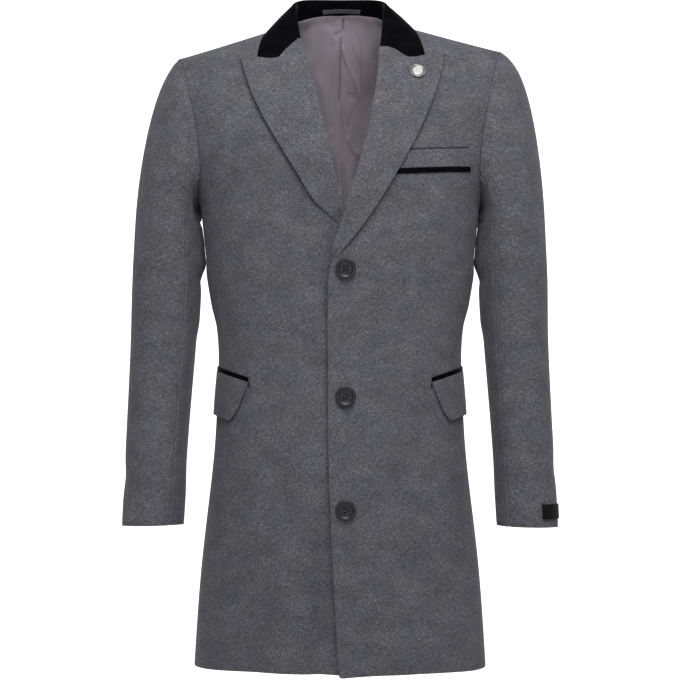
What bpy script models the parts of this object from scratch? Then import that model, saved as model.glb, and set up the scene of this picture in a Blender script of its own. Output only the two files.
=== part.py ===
"""Tweed overcoat with a velvet collar, buttoned up and filled out as if worn.

Units are metres. +Z is up, -Y is the front and +X is the wearer's left. The origin lies midway between
the two points where the shoulder seams meet the neck, which is where the wearer carries the coat.

The body is lofted through level sections from the hem to the shoulder seam. Every other piece is made
from the points of the panel that it lies on, moved outwards or inwards along the panel's normal.
"""

from collections import namedtuple
from math import asin, cos, pi, radians, sin, sqrt

import bmesh
import bpy
import numpy as np
from mathutils import Matrix, Vector
from mathutils.bvhtree import BVHTree

# Cloth and seams
CLOTH = 0.0020
LAPEL_CLOTH = 0.0018
LINING_CLOTH = 0.0010
SEAM = 0.0006
SHOULDER_SEAM = 0.0014
LAID_ON = CLOTH / 2 + 0.0003

# Body
NECK_HALF_WIDTH = 0.075
INSIDE_BELOW = 0.10
NECK_STEPS = (0.0, 0.08, 0.27, 0.57, 1.0)
SECTION_ROUNDNESS = 2.25
SHOULDER_SLOPE_POWER = 1.2
SHOULDER_TILT = 0.0220
TILT_STARTS, TILT_ENDS = -0.20, -0.05
OVERLAP_LIFT = 0.0052
OVERLAP_FADE = (0.012, 0.095)
OVERLAP_TOP = (-0.255, -0.170)
HEM_CORNER_DROP = 0.0040
HEM_CORNER_WIDTH = 0.022

# Lapels and collar
LAPEL_LIFT = 0.0056
LAPEL_END_LIFT = 0.0028
LAPEL_NOTCH_REACH = 0.055
COLLAR_CLOTH = 0.0018
COLLAR_LIFT = 0.0030
COLLAR_FOLD = 0.0034
COLLAR_FALL_BULGE = 0.0008
COLLAR_SEAM = 0.0034
COLLAR_CLEARANCE = 0.0027

# Lining
LINING_INSET = 0.0046
LINING_NECK_INSET = 0.0026
LINING_COLUMNS = 14
LINING_SHOULDER_ROW = 11.85
LINING_HEM = 0.030
LINING_SPAN = 0.90
PLEAT_RISE = 0.0050
PLEAT_HALF_WIDTH = 0.011

# Sleeves
SLEEVE_GAP_TOP = 0.0016
SLEEVE_GAP_UNDER = 0.0036
SLEEVE_SEAM = 0.028
FRONT_SLEEVE_SEAM = 10
BACK_SLEEVE_SEAM = 20

# Pockets
POCKET_FRONT_ANGLE, POCKET_BACK_ANGLE = radians(44.5), radians(104.0)
POCKET_FRONT_HEIGHT, POCKET_SIDE_HEIGHT = -0.4940, -0.4795
JET_HEIGHT = 0.0058
FLAP_DEPTH = 0.0600
FLAP_SLANT, FLAP_ROUND = 0.020, 0.014
FLAP_STAND_OFF = 0.0018
POCKET_EASE = 0.0007
POCKET_RADIUS = 0.150
WELT_INNER_X, WELT_OUTER_X = 0.0720, 0.1770
WELT_INNER_Z, WELT_OUTER_Z = -0.2060, -0.1995
WELT_HEIGHT = 0.0230
WELT_JET_HEIGHT = 0.0068
TRIM_CLOTH = 0.0014

# Buttons, pin, label and hanger loop
BUTTON_X = 0.0075
BUTTON_HEIGHTS = (-0.3406, -0.5133, -0.6655)
BUTTON_RADIUS, BUTTON_THICKNESS = 0.0136, 0.0040
BUTTON_STEPS = 18
BUTTON_HOLE_RADIUS, BUTTON_HOLE_PITCH = 0.0011, 0.0040
PIN_X, PIN_Z = 0.1050, -0.0770
PIN_RADIUS, PIN_THICKNESS = 0.0108, 0.0032
PIN_GAP = 0.0006
LABEL_ANGLES = (radians(4.0), radians(69.0))
LABEL_TOP, LABEL_BOTTOM = -0.6634, -0.6842
LABEL_CLOTH = 0.0010
LOOP_SPAN, LOOP_HEIGHTS = (0.426, 0.588), (0.046, 0.092)
LOOP_STAND_OFF, LOOP_CLOTH = 0.0028, 0.0010

# Sections of the body below the armholes, from the hem up. The seam angle is where the side seam lies,
# counted from the middle of the front.
Section = namedtuple("Section", "name height half_width front_depth back_depth seam_degrees")
SECTIONS = (
    Section("hem", -0.889, 0.2030, 0.148, 0.146, 116),
    Section("skirt", -0.745, 0.1932, 0.142, 0.142, 115),
    Section("hip", -0.605, 0.1764, 0.134, 0.133, 114),
    Section("low waist", -0.520, 0.1715, 0.127, 0.119, 113),
    Section("waist", -0.437, 0.1695, 0.122, 0.108, 112),
    Section("ribs", -0.353, 0.1835, 0.126, 0.115, 111),
    Section("chest", -0.285, 0.1910, 0.129, 0.123, 110),
)

# Rows of a panel. Height is at the panel's middle and edge_height at its outer edge, which is the side
# seam, then the armhole, and on the last row the shoulder point.
Row = namedtuple("Row", "name height edge_height half_width depth far_depth centre_y edge_degrees")
FRONT_YOKE = (
    Row("behind underarm", -0.256, -0.256, 0.1940, 0.130, 0.126, 0.000, 107),
    Row("underarm", -0.226, -0.245, 0.1965, 0.130, 0.126, 0.000, 88),
    Row("low armhole", -0.192, -0.208, 0.2075, 0.128, 0.126, 0.000, 66),
    Row("middle armhole", -0.150, -0.152, 0.2265, 0.120, 0.120, 0.000, 58),
    Row("high armhole", -0.095, -0.094, 0.2355, 0.098, 0.098, 0.000, 60),
    Row("shoulder front", -0.035, -0.0455, 0.2295, 0.055, 0.055, 0.003, 72),
    Row("shoulder seam", 0.0152, -0.040, 0.2260, 0.000, 0.000, 0.006, 90),
)
BACK_YOKE = (
    Row("behind underarm", -0.256, -0.256, 0.1940, 0.126, 0.126, 0.000, 73),
    Row("low armhole", -0.205, -0.205, 0.2075, 0.128, 0.128, 0.000, 64),
    Row("middle armhole", -0.140, -0.140, 0.2260, 0.124, 0.124, 0.000, 58),
    Row("high armhole", -0.075, -0.088, 0.2350, 0.104, 0.104, 0.003, 60),
    Row("back neck", 0.024, -0.0450, 0.2275, 0.066, 0.066, 0.006, 73),
    Row("shoulder seam", 0.0152, -0.040, 0.2260, 0.000, 0.000, 0.006, 90),
)


def rows_of(yoke, is_front):
    """The whole panel's rows: the body's sections below, then the yoke."""
    lower = []
    for s in SECTIONS:
        near, far = (s.front_depth, s.back_depth) if is_front else (s.back_depth, s.front_depth)
        angle = s.seam_degrees if is_front else 180 - s.seam_degrees
        lower.append(Row(s.name, s.height, s.height, s.half_width, near, far, 0.0, angle))
    return (*lower, *yoke)


FRONT = rows_of(FRONT_YOKE, True)
BACK = rows_of(BACK_YOKE, False)
UNDERARM_ROW = len(SECTIONS)
BACK_NECK_ROW = len(BACK) - 2
LEFT, RIGHT = 1, -1

# The front edge, then the roll line of the lapel, then the neck, as distances from the middle towards
# the panel's own side.
EdgePoint = namedtuple("EdgePoint", "height offset")
FRONT_EDGES = {
    LEFT: (
        EdgePoint(-0.895, -0.0010),
        EdgePoint(-0.823, -0.0055),
        EdgePoint(-0.733, -0.0108),
        EdgePoint(-0.600, -0.0155),
        EdgePoint(-0.464, -0.0164),
        EdgePoint(-0.356, -0.0170),
        EdgePoint(-0.333, -0.0137),
        EdgePoint(-0.294, -0.0004),
        EdgePoint(-0.264, 0.0086),
        EdgePoint(-0.222, 0.0242),
        EdgePoint(-0.139, 0.0447),
        EdgePoint(-0.104, 0.0526),
        EdgePoint(-0.067, 0.0560),
        EdgePoint(-0.030, 0.0582),
        EdgePoint(-0.012, 0.0640),
        EdgePoint(0.000, 0.0750),
    ),
    RIGHT: (
        EdgePoint(-0.895, -0.0120),
        EdgePoint(-0.600, -0.0150),
        EdgePoint(-0.330, -0.0150),
        EdgePoint(-0.297, -0.0145),
        EdgePoint(-0.271, -0.0035),
        EdgePoint(-0.262, -0.0008),
        EdgePoint(-0.222, 0.0087),
        EdgePoint(-0.139, 0.0274),
        EdgePoint(-0.043, 0.0507),
        EdgePoint(-0.019, 0.0575),
        EdgePoint(-0.009, 0.0640),
        EdgePoint(0.000, 0.0750),
    ),
}

# Lapels from the break point up: the roll line and the outer edge, seen from the front.
LapelRow = namedtuple("LapelRow", "name roll_x roll_z edge_x edge_z")
LAPELS = {
    LEFT: (
        LapelRow("break", -0.0112, -0.3250, -0.0015, -0.3275),
        LapelRow("low", -0.0004, -0.2940, 0.0180, -0.2985),
        LapelRow("belly", 0.0124, -0.2540, 0.0442, -0.2620),
        LapelRow("pocket", 0.0296, -0.2000, 0.0764, -0.2100),
        LapelRow("chest", 0.0447, -0.1390, 0.1070, -0.1540),
        LapelRow("high", 0.0543, -0.0850, 0.1290, -0.1030),
        LapelRow("under peak", 0.0568, -0.0570, 0.1400, -0.0660),
        LapelRow("peak", 0.0577, -0.0379, 0.1421, -0.0448),
    ),
    RIGHT: (
        LapelRow("break", -0.0035, -0.2710, 0.0104, -0.2805),
        LapelRow("low", 0.0061, -0.2300, 0.0338, -0.2520),
        LapelRow("pocket", 0.0148, -0.1950, 0.0603, -0.2070),
        LapelRow("chest", 0.0270, -0.1410, 0.0900, -0.1590),
        LapelRow("high", 0.0400, -0.0870, 0.1170, -0.1070),
        LapelRow("under peak", 0.0507, -0.0430, 0.1305, -0.0680),
        LapelRow("peak", 0.0565, -0.0230, 0.1355, -0.0478),
    ),
}

# How far the top of the lapel dips below the straight line from the roll to the peak. The lapel has one
# column of cloth between each two of these.
Notch = namedtuple("Notch", "share dip")
NOTCHES = {
    LEFT: (
        Notch(0.00, 0.0000),
        Notch(0.13, 0.0001),
        Notch(0.26, 0.0055),
        Notch(0.36, 0.0124),
        Notch(0.46, 0.0145),
        Notch(0.59, 0.0120),
        Notch(0.75, 0.0072),
        Notch(0.90, -0.0016),
        Notch(1.00, 0.0000),
    ),
    RIGHT: (
        Notch(0.00, 0.0000),
        Notch(0.10, 0.0042),
        Notch(0.20, 0.0094),
        Notch(0.28, 0.0147),
        Notch(0.33, 0.0195),
        Notch(0.46, 0.0184),
        Notch(0.65, 0.0114),
        Notch(0.84, 0.0030),
        Notch(1.00, 0.0000),
    ),
}

# Half of the collar from the middle of the back to its front end: where it is sewn to the neck, its fold,
# and where on the body its outer edge lies.
CollarRow = namedtuple("CollarRow", "name panel neck_row fold edge_row edge_x")
COLLAR = (
    CollarRow("middle back", "back", 11.00, (0.0000, 0.0610, 0.0468), 10.72, 0.000),
    CollarRow("back", "back", 11.08, (0.0330, 0.0565, 0.0464), 10.82, 0.045),
    CollarRow("back corner", "back", 11.27, (0.0540, 0.0440, 0.0440), 11.00, 0.078),
    CollarRow("behind shoulder", "back", 11.57, (0.0640, 0.0250, 0.0380), 11.40, 0.095),
    CollarRow("shoulder", "back", 12.00, (0.0655, 0.0060, 0.0300), 11.96, 0.102),
    CollarRow("front", "front", 12.57, (0.0632, -0.0130, 0.0120), 12.45, 0.110),
)

# The front ends of the collar, as points seen from the front. The fall ends under the top of the lapel.
CollarEnd = namedtuple("CollarEnd", "seam_z fold outer middle edge")
COLLAR_ENDS = {
    LEFT: CollarEnd(-0.0365, (0.0592, -0.0360), (0.069, -0.0425), (0.0915, -0.0590), (0.1180, -0.0560)),
    RIGHT: CollarEnd(-0.0205, (0.0585, -0.0190), (0.066, -0.0285), (0.0840, -0.0555), (0.1140, -0.0550)),
}
COLLAR_END_FOLD_LIFT = 0.0036

# How far the sleeve head reaches out and down from the shoulder: it is squarer on the left.
SleeveHead = namedtuple("SleeveHead", "out down")
SLEEVE_HEADS = {LEFT: SleeveHead(0.052, -0.046), RIGHT: SleeveHead(0.035, 0.025)}

# Sleeve rings from the biceps to the cuff.
Ring = namedtuple("Ring", "name height centre_x centre_y half_width half_depth")
SLEEVE_RINGS = (
    Ring("biceps", -0.300, 0.2420, 0.002, 0.0450, 0.069),
    Ring("above elbow", -0.370, 0.2440, 0.006, 0.0465, 0.066),
    Ring("elbow", -0.450, 0.2476, 0.006, 0.0448, 0.062),
    Ring("forearm", -0.570, 0.2547, -0.008, 0.0424, 0.058),
    Ring("cuff", -0.696, 0.2601, -0.030, 0.0412, 0.055),
)

# Outline of a button and of the lapel pin, from the middle of the face outwards and down to the back.
Turned = namedtuple("Turned", "radius height")
BUTTON_OUTLINE = (
    Turned(0.00, 0.55),
    Turned(0.56, 0.58),
    Turned(0.70, 0.86),
    Turned(0.84, 1.00),
    Turned(0.96, 0.80),
    Turned(1.00, 0.45),
    Turned(0.72, 0.00),
    Turned(0.00, 0.00),
)
PIN_OUTLINE = (
    Turned(0.00, 0.78),
    Turned(0.50, 0.66),
    Turned(0.62, 0.55),
    Turned(0.72, 0.62),
    Turned(0.84, 1.00),
    Turned(0.94, 0.92),
    Turned(1.00, 0.50),
    Turned(0.90, 0.00),
    Turned(0.00, 0.00),
)


def clear_scene():
    for obj in list(bpy.data.objects):
        bpy.data.objects.remove(obj, do_unlink=True)


def collection(name):
    made = bpy.data.collections.new(name)
    bpy.context.scene.collection.children.link(made)
    return made


def finish(name, colour, roughness, metallic=0.0):
    material = bpy.data.materials.new(name)
    material.use_nodes = True
    shader = material.node_tree.nodes["Principled BSDF"]
    shader.inputs["Base Color"].default_value = (*colour, 1.0)
    shader.inputs["Roughness"].default_value = roughness
    shader.inputs["Metallic"].default_value = metallic
    material.diffuse_color = (*colour, 1.0)
    return material


# Curves through tables


def smooth(before, start, end, after, share):
    """A Catmull-Rom curve from start to end."""
    a = 2 * start
    b = end - before
    c = 2 * before - 5 * start + 4 * end - after
    d = 3 * start - before - 3 * end + after
    return 0.5 * (a + b * share + c * share**2 + d * share**3)


def along(points, place):
    """The point at a place along a list of points, which counts them from 0."""
    last = len(points) - 1
    i = max(0, min(int(place), last - 1))
    near = [points[max(0, min(last, k))] for k in (i - 1, i, i + 1, i + 2)]
    return smooth(*near, place - i)


def row_at(rows, place):
    """A table's row at a place between its rows, with every column smooth."""
    columns = [along([row[k] for row in rows], place) for k in range(1, len(rows[0]))]
    return type(rows[0])(rows[min(int(place), len(rows) - 1)].name, *columns)


def body_row(rows, place):
    """A row of a front or back. Up to the underarm both follow the body's sections alone."""
    return row_at(rows[: UNDERARM_ROW + 1] if place <= UNDERARM_ROW else rows, place)


def stations(rows, first=0, each=2):
    """Places to cut a panel at, closest together round the neck."""
    places = []
    for i in range(first, len(rows) - 2):
        places += [i + k / each for k in range(each)]
    return [*places, *(len(rows) - 2 + step for step in NECK_STEPS)]


def between(low, high, share):
    return low + (high - low) * share


def ease(low, high, value):
    share = max(0.0, min(1.0, (value - low) / (high - low)))
    return share * share * (3 - 2 * share)


# The body's surface


def bulge(share):
    """Turns a sine or cosine into the rounder one of the body's section."""
    return abs(share) ** (2 / SECTION_ROUNDNESS) * (1 if share >= 0 else -1)


def angle_at(row, offset):
    """The angle from the panel's middle at which the section lies this far to the side."""
    share = max(-1.0, min(1.0, offset / row.half_width))
    return asin(abs(share) ** (SECTION_ROUNDNESS / 2)) * (1 if share >= 0 else -1)


def edge_offset(row):
    return row.half_width * bulge(sin(radians(min(90.0, row.edge_degrees))))


def row_height(row, offset):
    share = max(0.0, min(1.0, offset / edge_offset(row)))
    return between(row.height, row.edge_height, share**SHOULDER_SLOPE_POWER)


class Panel:
    """The surface of one front or back, on one side of the body."""

    def __init__(self, rows, facing, side):
        self.rows, self.facing, self.side = rows, facing, side

    def on_surface(self, place, angle):
        row = body_row(self.rows, place)
        offset = row.half_width * bulge(sin(angle))
        depth = row.depth if cos(angle) >= 0 else row.far_depth
        past_side = cos(angle) < 0
        height = row.edge_height if past_side else row_height(row, offset)
        x = self.side * offset
        y = row.centre_y + self.facing * depth * bulge(cos(angle))
        tilt = SHOULDER_TILT * x * ease(TILT_STARTS, TILT_ENDS, height)
        return Vector((x, y, height + tilt))

    def normal(self, place, angle, step=0.02):
        last = len(self.rows) - 1
        up = self.on_surface(min(last, place + step), angle) - self.on_surface(max(0, place - step), angle)
        across = self.on_surface(place, angle + step) - self.on_surface(place, angle - step)
        return across.cross(up).normalized() * (-self.facing * self.side)

    def point(self, place, angle, out=0.0):
        return self.on_surface(place, angle) + self.normal(place, angle) * out

    def place_at(self, height, offset):
        """The place among the rows that lies at this height, this far to the side."""
        low, high = 0.0, len(self.rows) - 1.0
        for _ in range(30):
            middle = (low + high) / 2
            if row_height(body_row(self.rows, middle), offset) < height:
                low = middle
            else:
                high = middle
        return (low + high) / 2

    def seen_at(self, offset, height, out=0.0):
        """The point that lies at this offset and height seen from the front or the back."""
        place = self.place_at(height, max(0.0, offset))
        return self.point(place, angle_at(body_row(self.rows, place), offset), out)

    def edge_angle(self, place):
        return radians(body_row(self.rows, place).edge_degrees)


FRONTS = {side: Panel(FRONT, -1, side) for side in (LEFT, RIGHT)}
BACKS = {side: Panel(BACK, 1, side) for side in (LEFT, RIGHT)}


def edge_at_height(side, height):
    """How far from the middle the front's edge or roll line is at this height."""
    edge = FRONT_EDGES[side]
    return float(np.interp(height, [p.height for p in edge], [p.offset for p in edge]))


def front_edge_offset(side, place):
    """How far from the middle the front's edge or roll line is on this row, whose height varies across."""
    row = body_row(FRONT, place)
    offset = 0.0
    for _ in range(15):
        offset = edge_at_height(side, row_height(row, offset))
    return offset


def neck_offset(place):
    """How far from the middle the back starts on this row: at the middle seam, then at the neck."""
    if place <= BACK_NECK_ROW:
        return SEAM / 2
    depth = body_row(BACK, place).depth / BACK[BACK_NECK_ROW].depth
    return max(SEAM / 2, NECK_HALF_WIDTH * sqrt(max(0.0, 1 - depth**2)))


def overlap_lift(side, offset, height):
    """The left front lies over the right one below the lapels, so it stands out near the middle."""
    if side == RIGHT:
        return 0.0
    return OVERLAP_LIFT * (1 - ease(*OVERLAP_FADE, offset)) * (1 - ease(*OVERLAP_TOP, height))


# Sheets of cloth


def cloth(name, point_at, columns, rows, thickness, material):
    """A sheet of cloth: a grid whose points go to point_at(across, up), made a closed wall by Solidify."""
    sheet = bmesh.new()
    bmesh.ops.create_grid(sheet, x_segments=columns, y_segments=rows, size=0.5)
    for vert in sheet.verts:
        vert.co = point_at(vert.co.x + 0.5, vert.co.y + 0.5)
    mesh = bpy.data.meshes.new(name)
    sheet.to_mesh(mesh)
    sheet.free()
    mesh.materials.append(material)
    mesh.shade_smooth()
    piece = bpy.data.objects.new(name, mesh)
    coat.objects.link(piece)
    wall = piece.modifiers.new("Wall", "SOLIDIFY")
    wall.thickness = thickness
    wall.offset = 0.0
    wall.use_even_offset = True
    wall.use_quality_normals = True
    return piece


def body_tree(panels):
    """The cloth of the fronts and backs, faces outwards, for finding what lies nearest to a point."""
    points, faces = [], []
    for panel in panels:
        first = len(points)
        points += [v.co.copy() for v in panel.data.vertices]
        for face in panel.data.polygons:
            from_inside = Vector((face.center.x, face.center.y, INSIDE_BELOW))
            ring = [first + i for i in face.vertices]
            faces.append(ring if face.normal.dot(from_inside) > 0 else ring[::-1])
    return BVHTree.FromPolygons(points, faces)


def spread(places, share):
    """The place at a share of the way through a list of places."""
    return float(np.interp(share * (len(places) - 1), range(len(places)), places))


def make_front(name, side):
    panel = FRONTS[side]
    places = stations(FRONT)

    def point_at(across, up):
        place = spread(places, up)
        row = body_row(FRONT, place)
        start = angle_at(row, front_edge_offset(side, place))
        end = radians(row.edge_degrees) - SEAM / 2 / row.half_width
        angle = between(start, end, across)
        offset = row.half_width * bulge(sin(angle))
        lift = overlap_lift(side, offset, row_height(row, offset))
        point = panel.point(place, angle, lift)
        if side == LEFT and place < 1:
            nearness = max(0.0, 1 - abs(offset) / HEM_CORNER_WIDTH)
            point.z -= HEM_CORNER_DROP * nearness**2 * (1 - place)
        point.y -= SHOULDER_SEAM / 2 * ease(len(FRONT) - 2, len(FRONT) - 1, place)
        return point

    return cloth(name, point_at, 11, len(places) - 1, CLOTH, TWEED)


def make_back(name, side):
    panel = BACKS[side]
    places = stations(BACK)

    def point_at(across, up):
        place = spread(places, up)
        row = body_row(BACK, place)
        start = angle_at(row, neck_offset(place))
        end = radians(row.edge_degrees) - SEAM / 2 / row.half_width
        point = panel.point(place, between(start, end, across))
        point.y += SHOULDER_SEAM / 2 * ease(len(BACK) - 2, len(BACK) - 1, place)
        return point

    return cloth(name, point_at, 7, len(places) - 1, CLOTH, TWEED)


def lining_top(part):
    """How high a column of the lining goes, this part of the way to the edge: to the neck or the shoulder."""
    low, high = BACK_NECK_ROW, LINING_SHOULDER_ROW
    for _ in range(20):
        middle = (low + high) / 2
        row = body_row(BACK, middle)
        offset = row.half_width * bulge(sin(part * radians(row.edge_degrees)))
        if offset > neck_offset(middle):
            low = middle
        else:
            high = middle
    return low


def make_lining():
    """The back's lining, hung just inside the back from the neck, with one pleat down its middle."""
    places = [place for place in stations(BACK, each=1) if place <= BACK_NECK_ROW]

    def point_at(across, up):
        share = 2 * across - 1
        side = LEFT if share >= 0 else RIGHT
        part = LINING_SPAN * abs(share) ** 1.5
        place = spread(places, up)
        place += (lining_top(part) - BACK_NECK_ROW) * max(0.0, place - BACK_NECK_ROW + 1)
        row = body_row(BACK, place)
        angle = radians(row.edge_degrees) * part
        from_middle = row.half_width * bulge(sin(angle))
        pleat = PLEAT_RISE * max(0.0, 1 - from_middle / PLEAT_HALF_WIDTH)
        inset = between(LINING_INSET, LINING_NECK_INSET, ease(BACK_NECK_ROW - 1, BACK_NECK_ROW, place))
        point = BACKS[side].point(place, angle, -inset - pleat)
        point.z += LINING_HEM * max(0.0, 1 - place)
        return point

    return cloth("lining_back", point_at, LINING_COLUMNS, len(places) - 1, LINING_CLOTH, SATIN)


# Lapels and collar


def lapel_lift(up):
    return between(LAPEL_END_LIFT, LAPEL_LIFT, ease(0.0, 0.35, up))


def lapel_point(side, across, up, out=0.0):
    """A point of the lapel: across runs from the roll line to the outer edge, up from the break."""
    rows = LAPELS[side]
    row = row_at(rows, up * (len(rows) - 1))
    notch = NOTCHES[side]
    dip = float(np.interp(across, [n.share for n in notch], [n.dip for n in notch]))
    below_peak = rows[-1].edge_z - row.edge_z
    x = between(row.roll_x, row.edge_x, across)
    z = between(row.roll_z, row.edge_z, across) - dip * max(0.0, 1 - below_peak / LAPEL_NOTCH_REACH)
    return FRONTS[side].seen_at(x, z, overlap_lift(side, x, z) + lapel_lift(up) + out)


def make_lapel(name, side, fold_columns=3):
    rows = 2 * (len(LAPELS[side]) - 1)
    shares = [n.share for n in NOTCHES[side]]
    columns = len(shares) - 1
    fold_share = fold_columns / (columns + fold_columns)

    def point_at(across, up):
        if across >= fold_share:
            return lapel_point(side, spread(shares, (across - fold_share) / (1 - fold_share)), up)
        turn = pi * across / fold_share
        radius = lapel_lift(up) / 2
        roll = lapel_point(side, 0.0, up)
        out = roll - lapel_point(side, 0.0, up, -2 * radius)
        inwards = (lapel_point(side, 0.0, up) - lapel_point(side, 0.05, up)).normalized()
        return roll - out * (1 + cos(turn)) / 2 + inwards * (radius * sin(turn) + SEAM + CLOTH / 4)

    return cloth(name, point_at, columns + fold_columns, rows, LAPEL_CLOTH, TWEED)


def neck_seam(panel, place):
    """Where the collar is sewn on: just inside the panel's neck edge."""
    offset = front_edge_offset(panel.side, place) if panel.facing < 0 else neck_offset(place)
    edge = panel.on_surface(place, angle_at(body_row(panel.rows, place), offset))
    inwards = Vector((-edge.x, -edge.y, 0)).normalized()
    return edge + inwards * COLLAR_SEAM


def collar_section(side, row):
    """The points of one section of the collar: up the stand, over the fold and down the fall."""
    panel = (BACKS if row.panel == "back" else FRONTS)[side]
    seam = neck_seam(panel, row.neck_row)
    edge = panel.point(row.edge_row, angle_at(body_row(panel.rows, row.edge_row), row.edge_x), COLLAR_LIFT)
    fold = Vector(row.fold) * Vector((side, 1, 1))
    outwards = Vector((edge.x - seam.x, edge.y - seam.y, 0.0)).normalized()
    below = Vector((0.0, 0.0, -COLLAR_FOLD))
    inner = fold - outwards * COLLAR_FOLD + below
    outer = fold + outwards * COLLAR_FOLD + below
    middle = (outer + edge) / 2 + (outwards + Vector((0, 0, 1))) * COLLAR_FALL_BULGE
    return [seam, inner, fold, outer, middle, edge]


def collar_end(side):
    """The last section of the collar, which closes down onto the front beside the lapel's top."""
    end, panel = COLLAR_ENDS[side], FRONTS[side]
    fold = panel.seen_at(*end.fold, COLLAR_END_FOLD_LIFT)
    neck = panel.seen_at(edge_at_height(side, end.seam_z), end.seam_z)
    inside = Vector((-neck.x, -neck.y, 0)).normalized() * COLLAR_SEAM
    seam = neck + inside
    inner = (seam + fold) / 2 + inside / 2
    rest = [panel.seen_at(*place, COLLAR_LIFT) for place in (end.outer, end.middle, end.edge)]
    return [seam, inner, fold, *rest]


def collar_sections():
    """Every section of the collar, from its right front end round the back to its left front end."""
    right = [collar_section(RIGHT, row) for row in COLLAR[1:]] + [collar_end(RIGHT)]
    left = [collar_section(LEFT, row) for row in COLLAR] + [collar_end(LEFT)]
    return [*reversed(right), *left]


def collar_point(sections, across, up):
    column = [along(section, up * (len(section) - 1)) for section in sections]
    return along(column, across * (len(sections) - 1))


def held_off(body, point, clearance):
    """The point, or if it is nearer to the body's cloth than the clearance, the one that far out."""
    nearest, normal, _, _ = body.find_nearest(point)
    out = (point - nearest).dot(normal)
    return point if out >= clearance else point + normal * (clearance - out)


def make_collar(sections, body):
    fall_starts = 0.55

    def point_at(across, up):
        point = collar_point(sections, across, up)
        return held_off(body, point, COLLAR_CLEARANCE) if up > fall_starts else point

    return cloth("collar", point_at, 2 * (len(sections) - 1), 10, COLLAR_CLOTH, VELVET)


def make_hanger_loop(sections):
    """A flat tape across the inside of the collar stand, at the middle of the back."""
    def point_at(across, up):
        share = between(*LOOP_SPAN, across)
        point = collar_point(sections, share, between(*LOOP_HEIGHTS, up))
        return point + Vector((0, -1, 0)) * LOOP_STAND_OFF

    return cloth("hanger_loop", point_at, 6, 1, LOOP_CLOTH, SATIN_TAPE)


# Sleeves


def armhole(side):
    """The points of the armhole, from the shoulder round the front, the underarm and the back."""
    front, back = FRONTS[side], BACKS[side]
    front_places = reversed(stations(FRONT, UNDERARM_ROW))
    back_places = stations(BACK, UNDERARM_ROW)[1:]
    down = [front.on_surface(place, front.edge_angle(place)) for place in front_places]
    return down + [back.on_surface(place, back.edge_angle(place)) for place in back_places]


def sleeve_ring_point(side, ring, turn):
    x = ring.centre_x + ring.half_width * bulge(cos(turn))
    return Vector((side * x, ring.centre_y - ring.half_depth * bulge(sin(turn)), ring.height))


class Sleeve:
    """A sleeve that starts at the armhole, rounds over its head and falls through the rings."""

    def __init__(self, side):
        self.side = side
        self.ring = armhole(side)
        lengths = [(b - a).length for a, b in zip(self.ring, self.ring[1:])]
        self.turns = np.concatenate([[0], np.cumsum(lengths)]) / sum(lengths) * 2 * pi

    def head(self, place, share):
        """Between the armhole and the biceps, along a curve that leaves the body and turns down."""
        i = min(int(place), len(self.ring) - 2)
        start = self.ring[i].lerp(self.ring[i + 1], place - i)
        turn = self.turn(place)
        top = cos(turn)
        start.x += self.side * between(SLEEVE_GAP_UNDER, SLEEVE_GAP_TOP, (1 + top) / 2)
        end = sleeve_ring_point(self.side, SLEEVE_RINGS[0], turn)
        head = SLEEVE_HEADS[self.side]
        leave = Vector((self.side * (0.075 + head.out * top), -0.025 * sin(turn), -0.055 - head.down * top))
        arrive = Vector((0, 0, -0.14 - 0.085 * top))
        s2, s3 = share**2, share**3
        ends = start * (2 * s3 - 3 * s2 + 1) + end * (3 * s2 - 2 * s3)
        return ends + leave * (s3 - 2 * s2 + share) + arrive * (s3 - s2)

    def turn(self, place):
        return float(np.interp(place, range(len(self.turns)), self.turns))

    def point(self, place, down, out=0.0):
        """Place counts the armhole's points, and down runs 0 to 1 over the head, then through the rings."""
        if down < 1:
            return self.head(place, down)
        ring = row_at(SLEEVE_RINGS, down - 1)
        turn = self.turn(place)
        outwards = Vector((self.side * cos(turn), -sin(turn), 0))
        return sleeve_ring_point(self.side, ring, turn) + outwards * out


def make_sleeve(name, sleeve, first, last):
    """The part of a sleeve between two of the armhole's points, which are where its long seams start."""
    count = len(sleeve.ring) - 1
    head = [k / 5 for k in range(5)]
    places_down = head + [1 + k / 2 for k in range(2 * (len(SLEEVE_RINGS) - 1) + 1)]
    gap = SLEEVE_SEAM

    def point_at(across, up):
        place = between(first + gap, last - gap, across)
        return sleeve.point(place % count, spread(places_down, up))

    return cloth(name, point_at, last - first, len(places_down) - 1, CLOTH, TWEED)


def make_sleeves(word, side):
    sleeve = Sleeve(side)
    count = len(sleeve.ring) - 1
    make_sleeve(f"sleeve_top_{word}", sleeve, BACK_SLEEVE_SEAM, FRONT_SLEEVE_SEAM + count)
    make_sleeve(f"sleeve_under_{word}", sleeve, FRONT_SLEEVE_SEAM, BACK_SLEEVE_SEAM)
    return sleeve


def make_cuff_label(sleeve):
    """A bare woven label sewn round the outside of the left cuff."""
    places = np.linspace(0, len(SLEEVE_RINGS) - 1, 81)
    drops = [-row_at(SLEEVE_RINGS, place).height for place in places]
    low, high = (1 + float(np.interp(-z, drops, places)) for z in (LABEL_BOTTOM, LABEL_TOP))

    def point_at(across, up):
        turn = between(*LABEL_ANGLES, across)
        place = float(np.interp(turn, sleeve.turns, range(len(sleeve.turns))))
        return sleeve.point(place, between(low, high, up), LAID_ON + LABEL_CLOTH / 2 + 0.0008)

    return cloth("cuff_label", point_at, 8, 1, LABEL_CLOTH, LABEL)


# Pockets


def pocket_line(share):
    """Angle and height of the hip pocket's mouth, which looks straight from the front, from its front end back."""
    angle = between(POCKET_FRONT_ANGLE, POCKET_BACK_ANGLE, share)
    front = sin(POCKET_FRONT_ANGLE)
    aside = (sin(min(angle, pi / 2)) - front) / (1 - front)
    return angle, between(POCKET_FRONT_HEIGHT, POCKET_SIDE_HEIGHT, aside)


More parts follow.
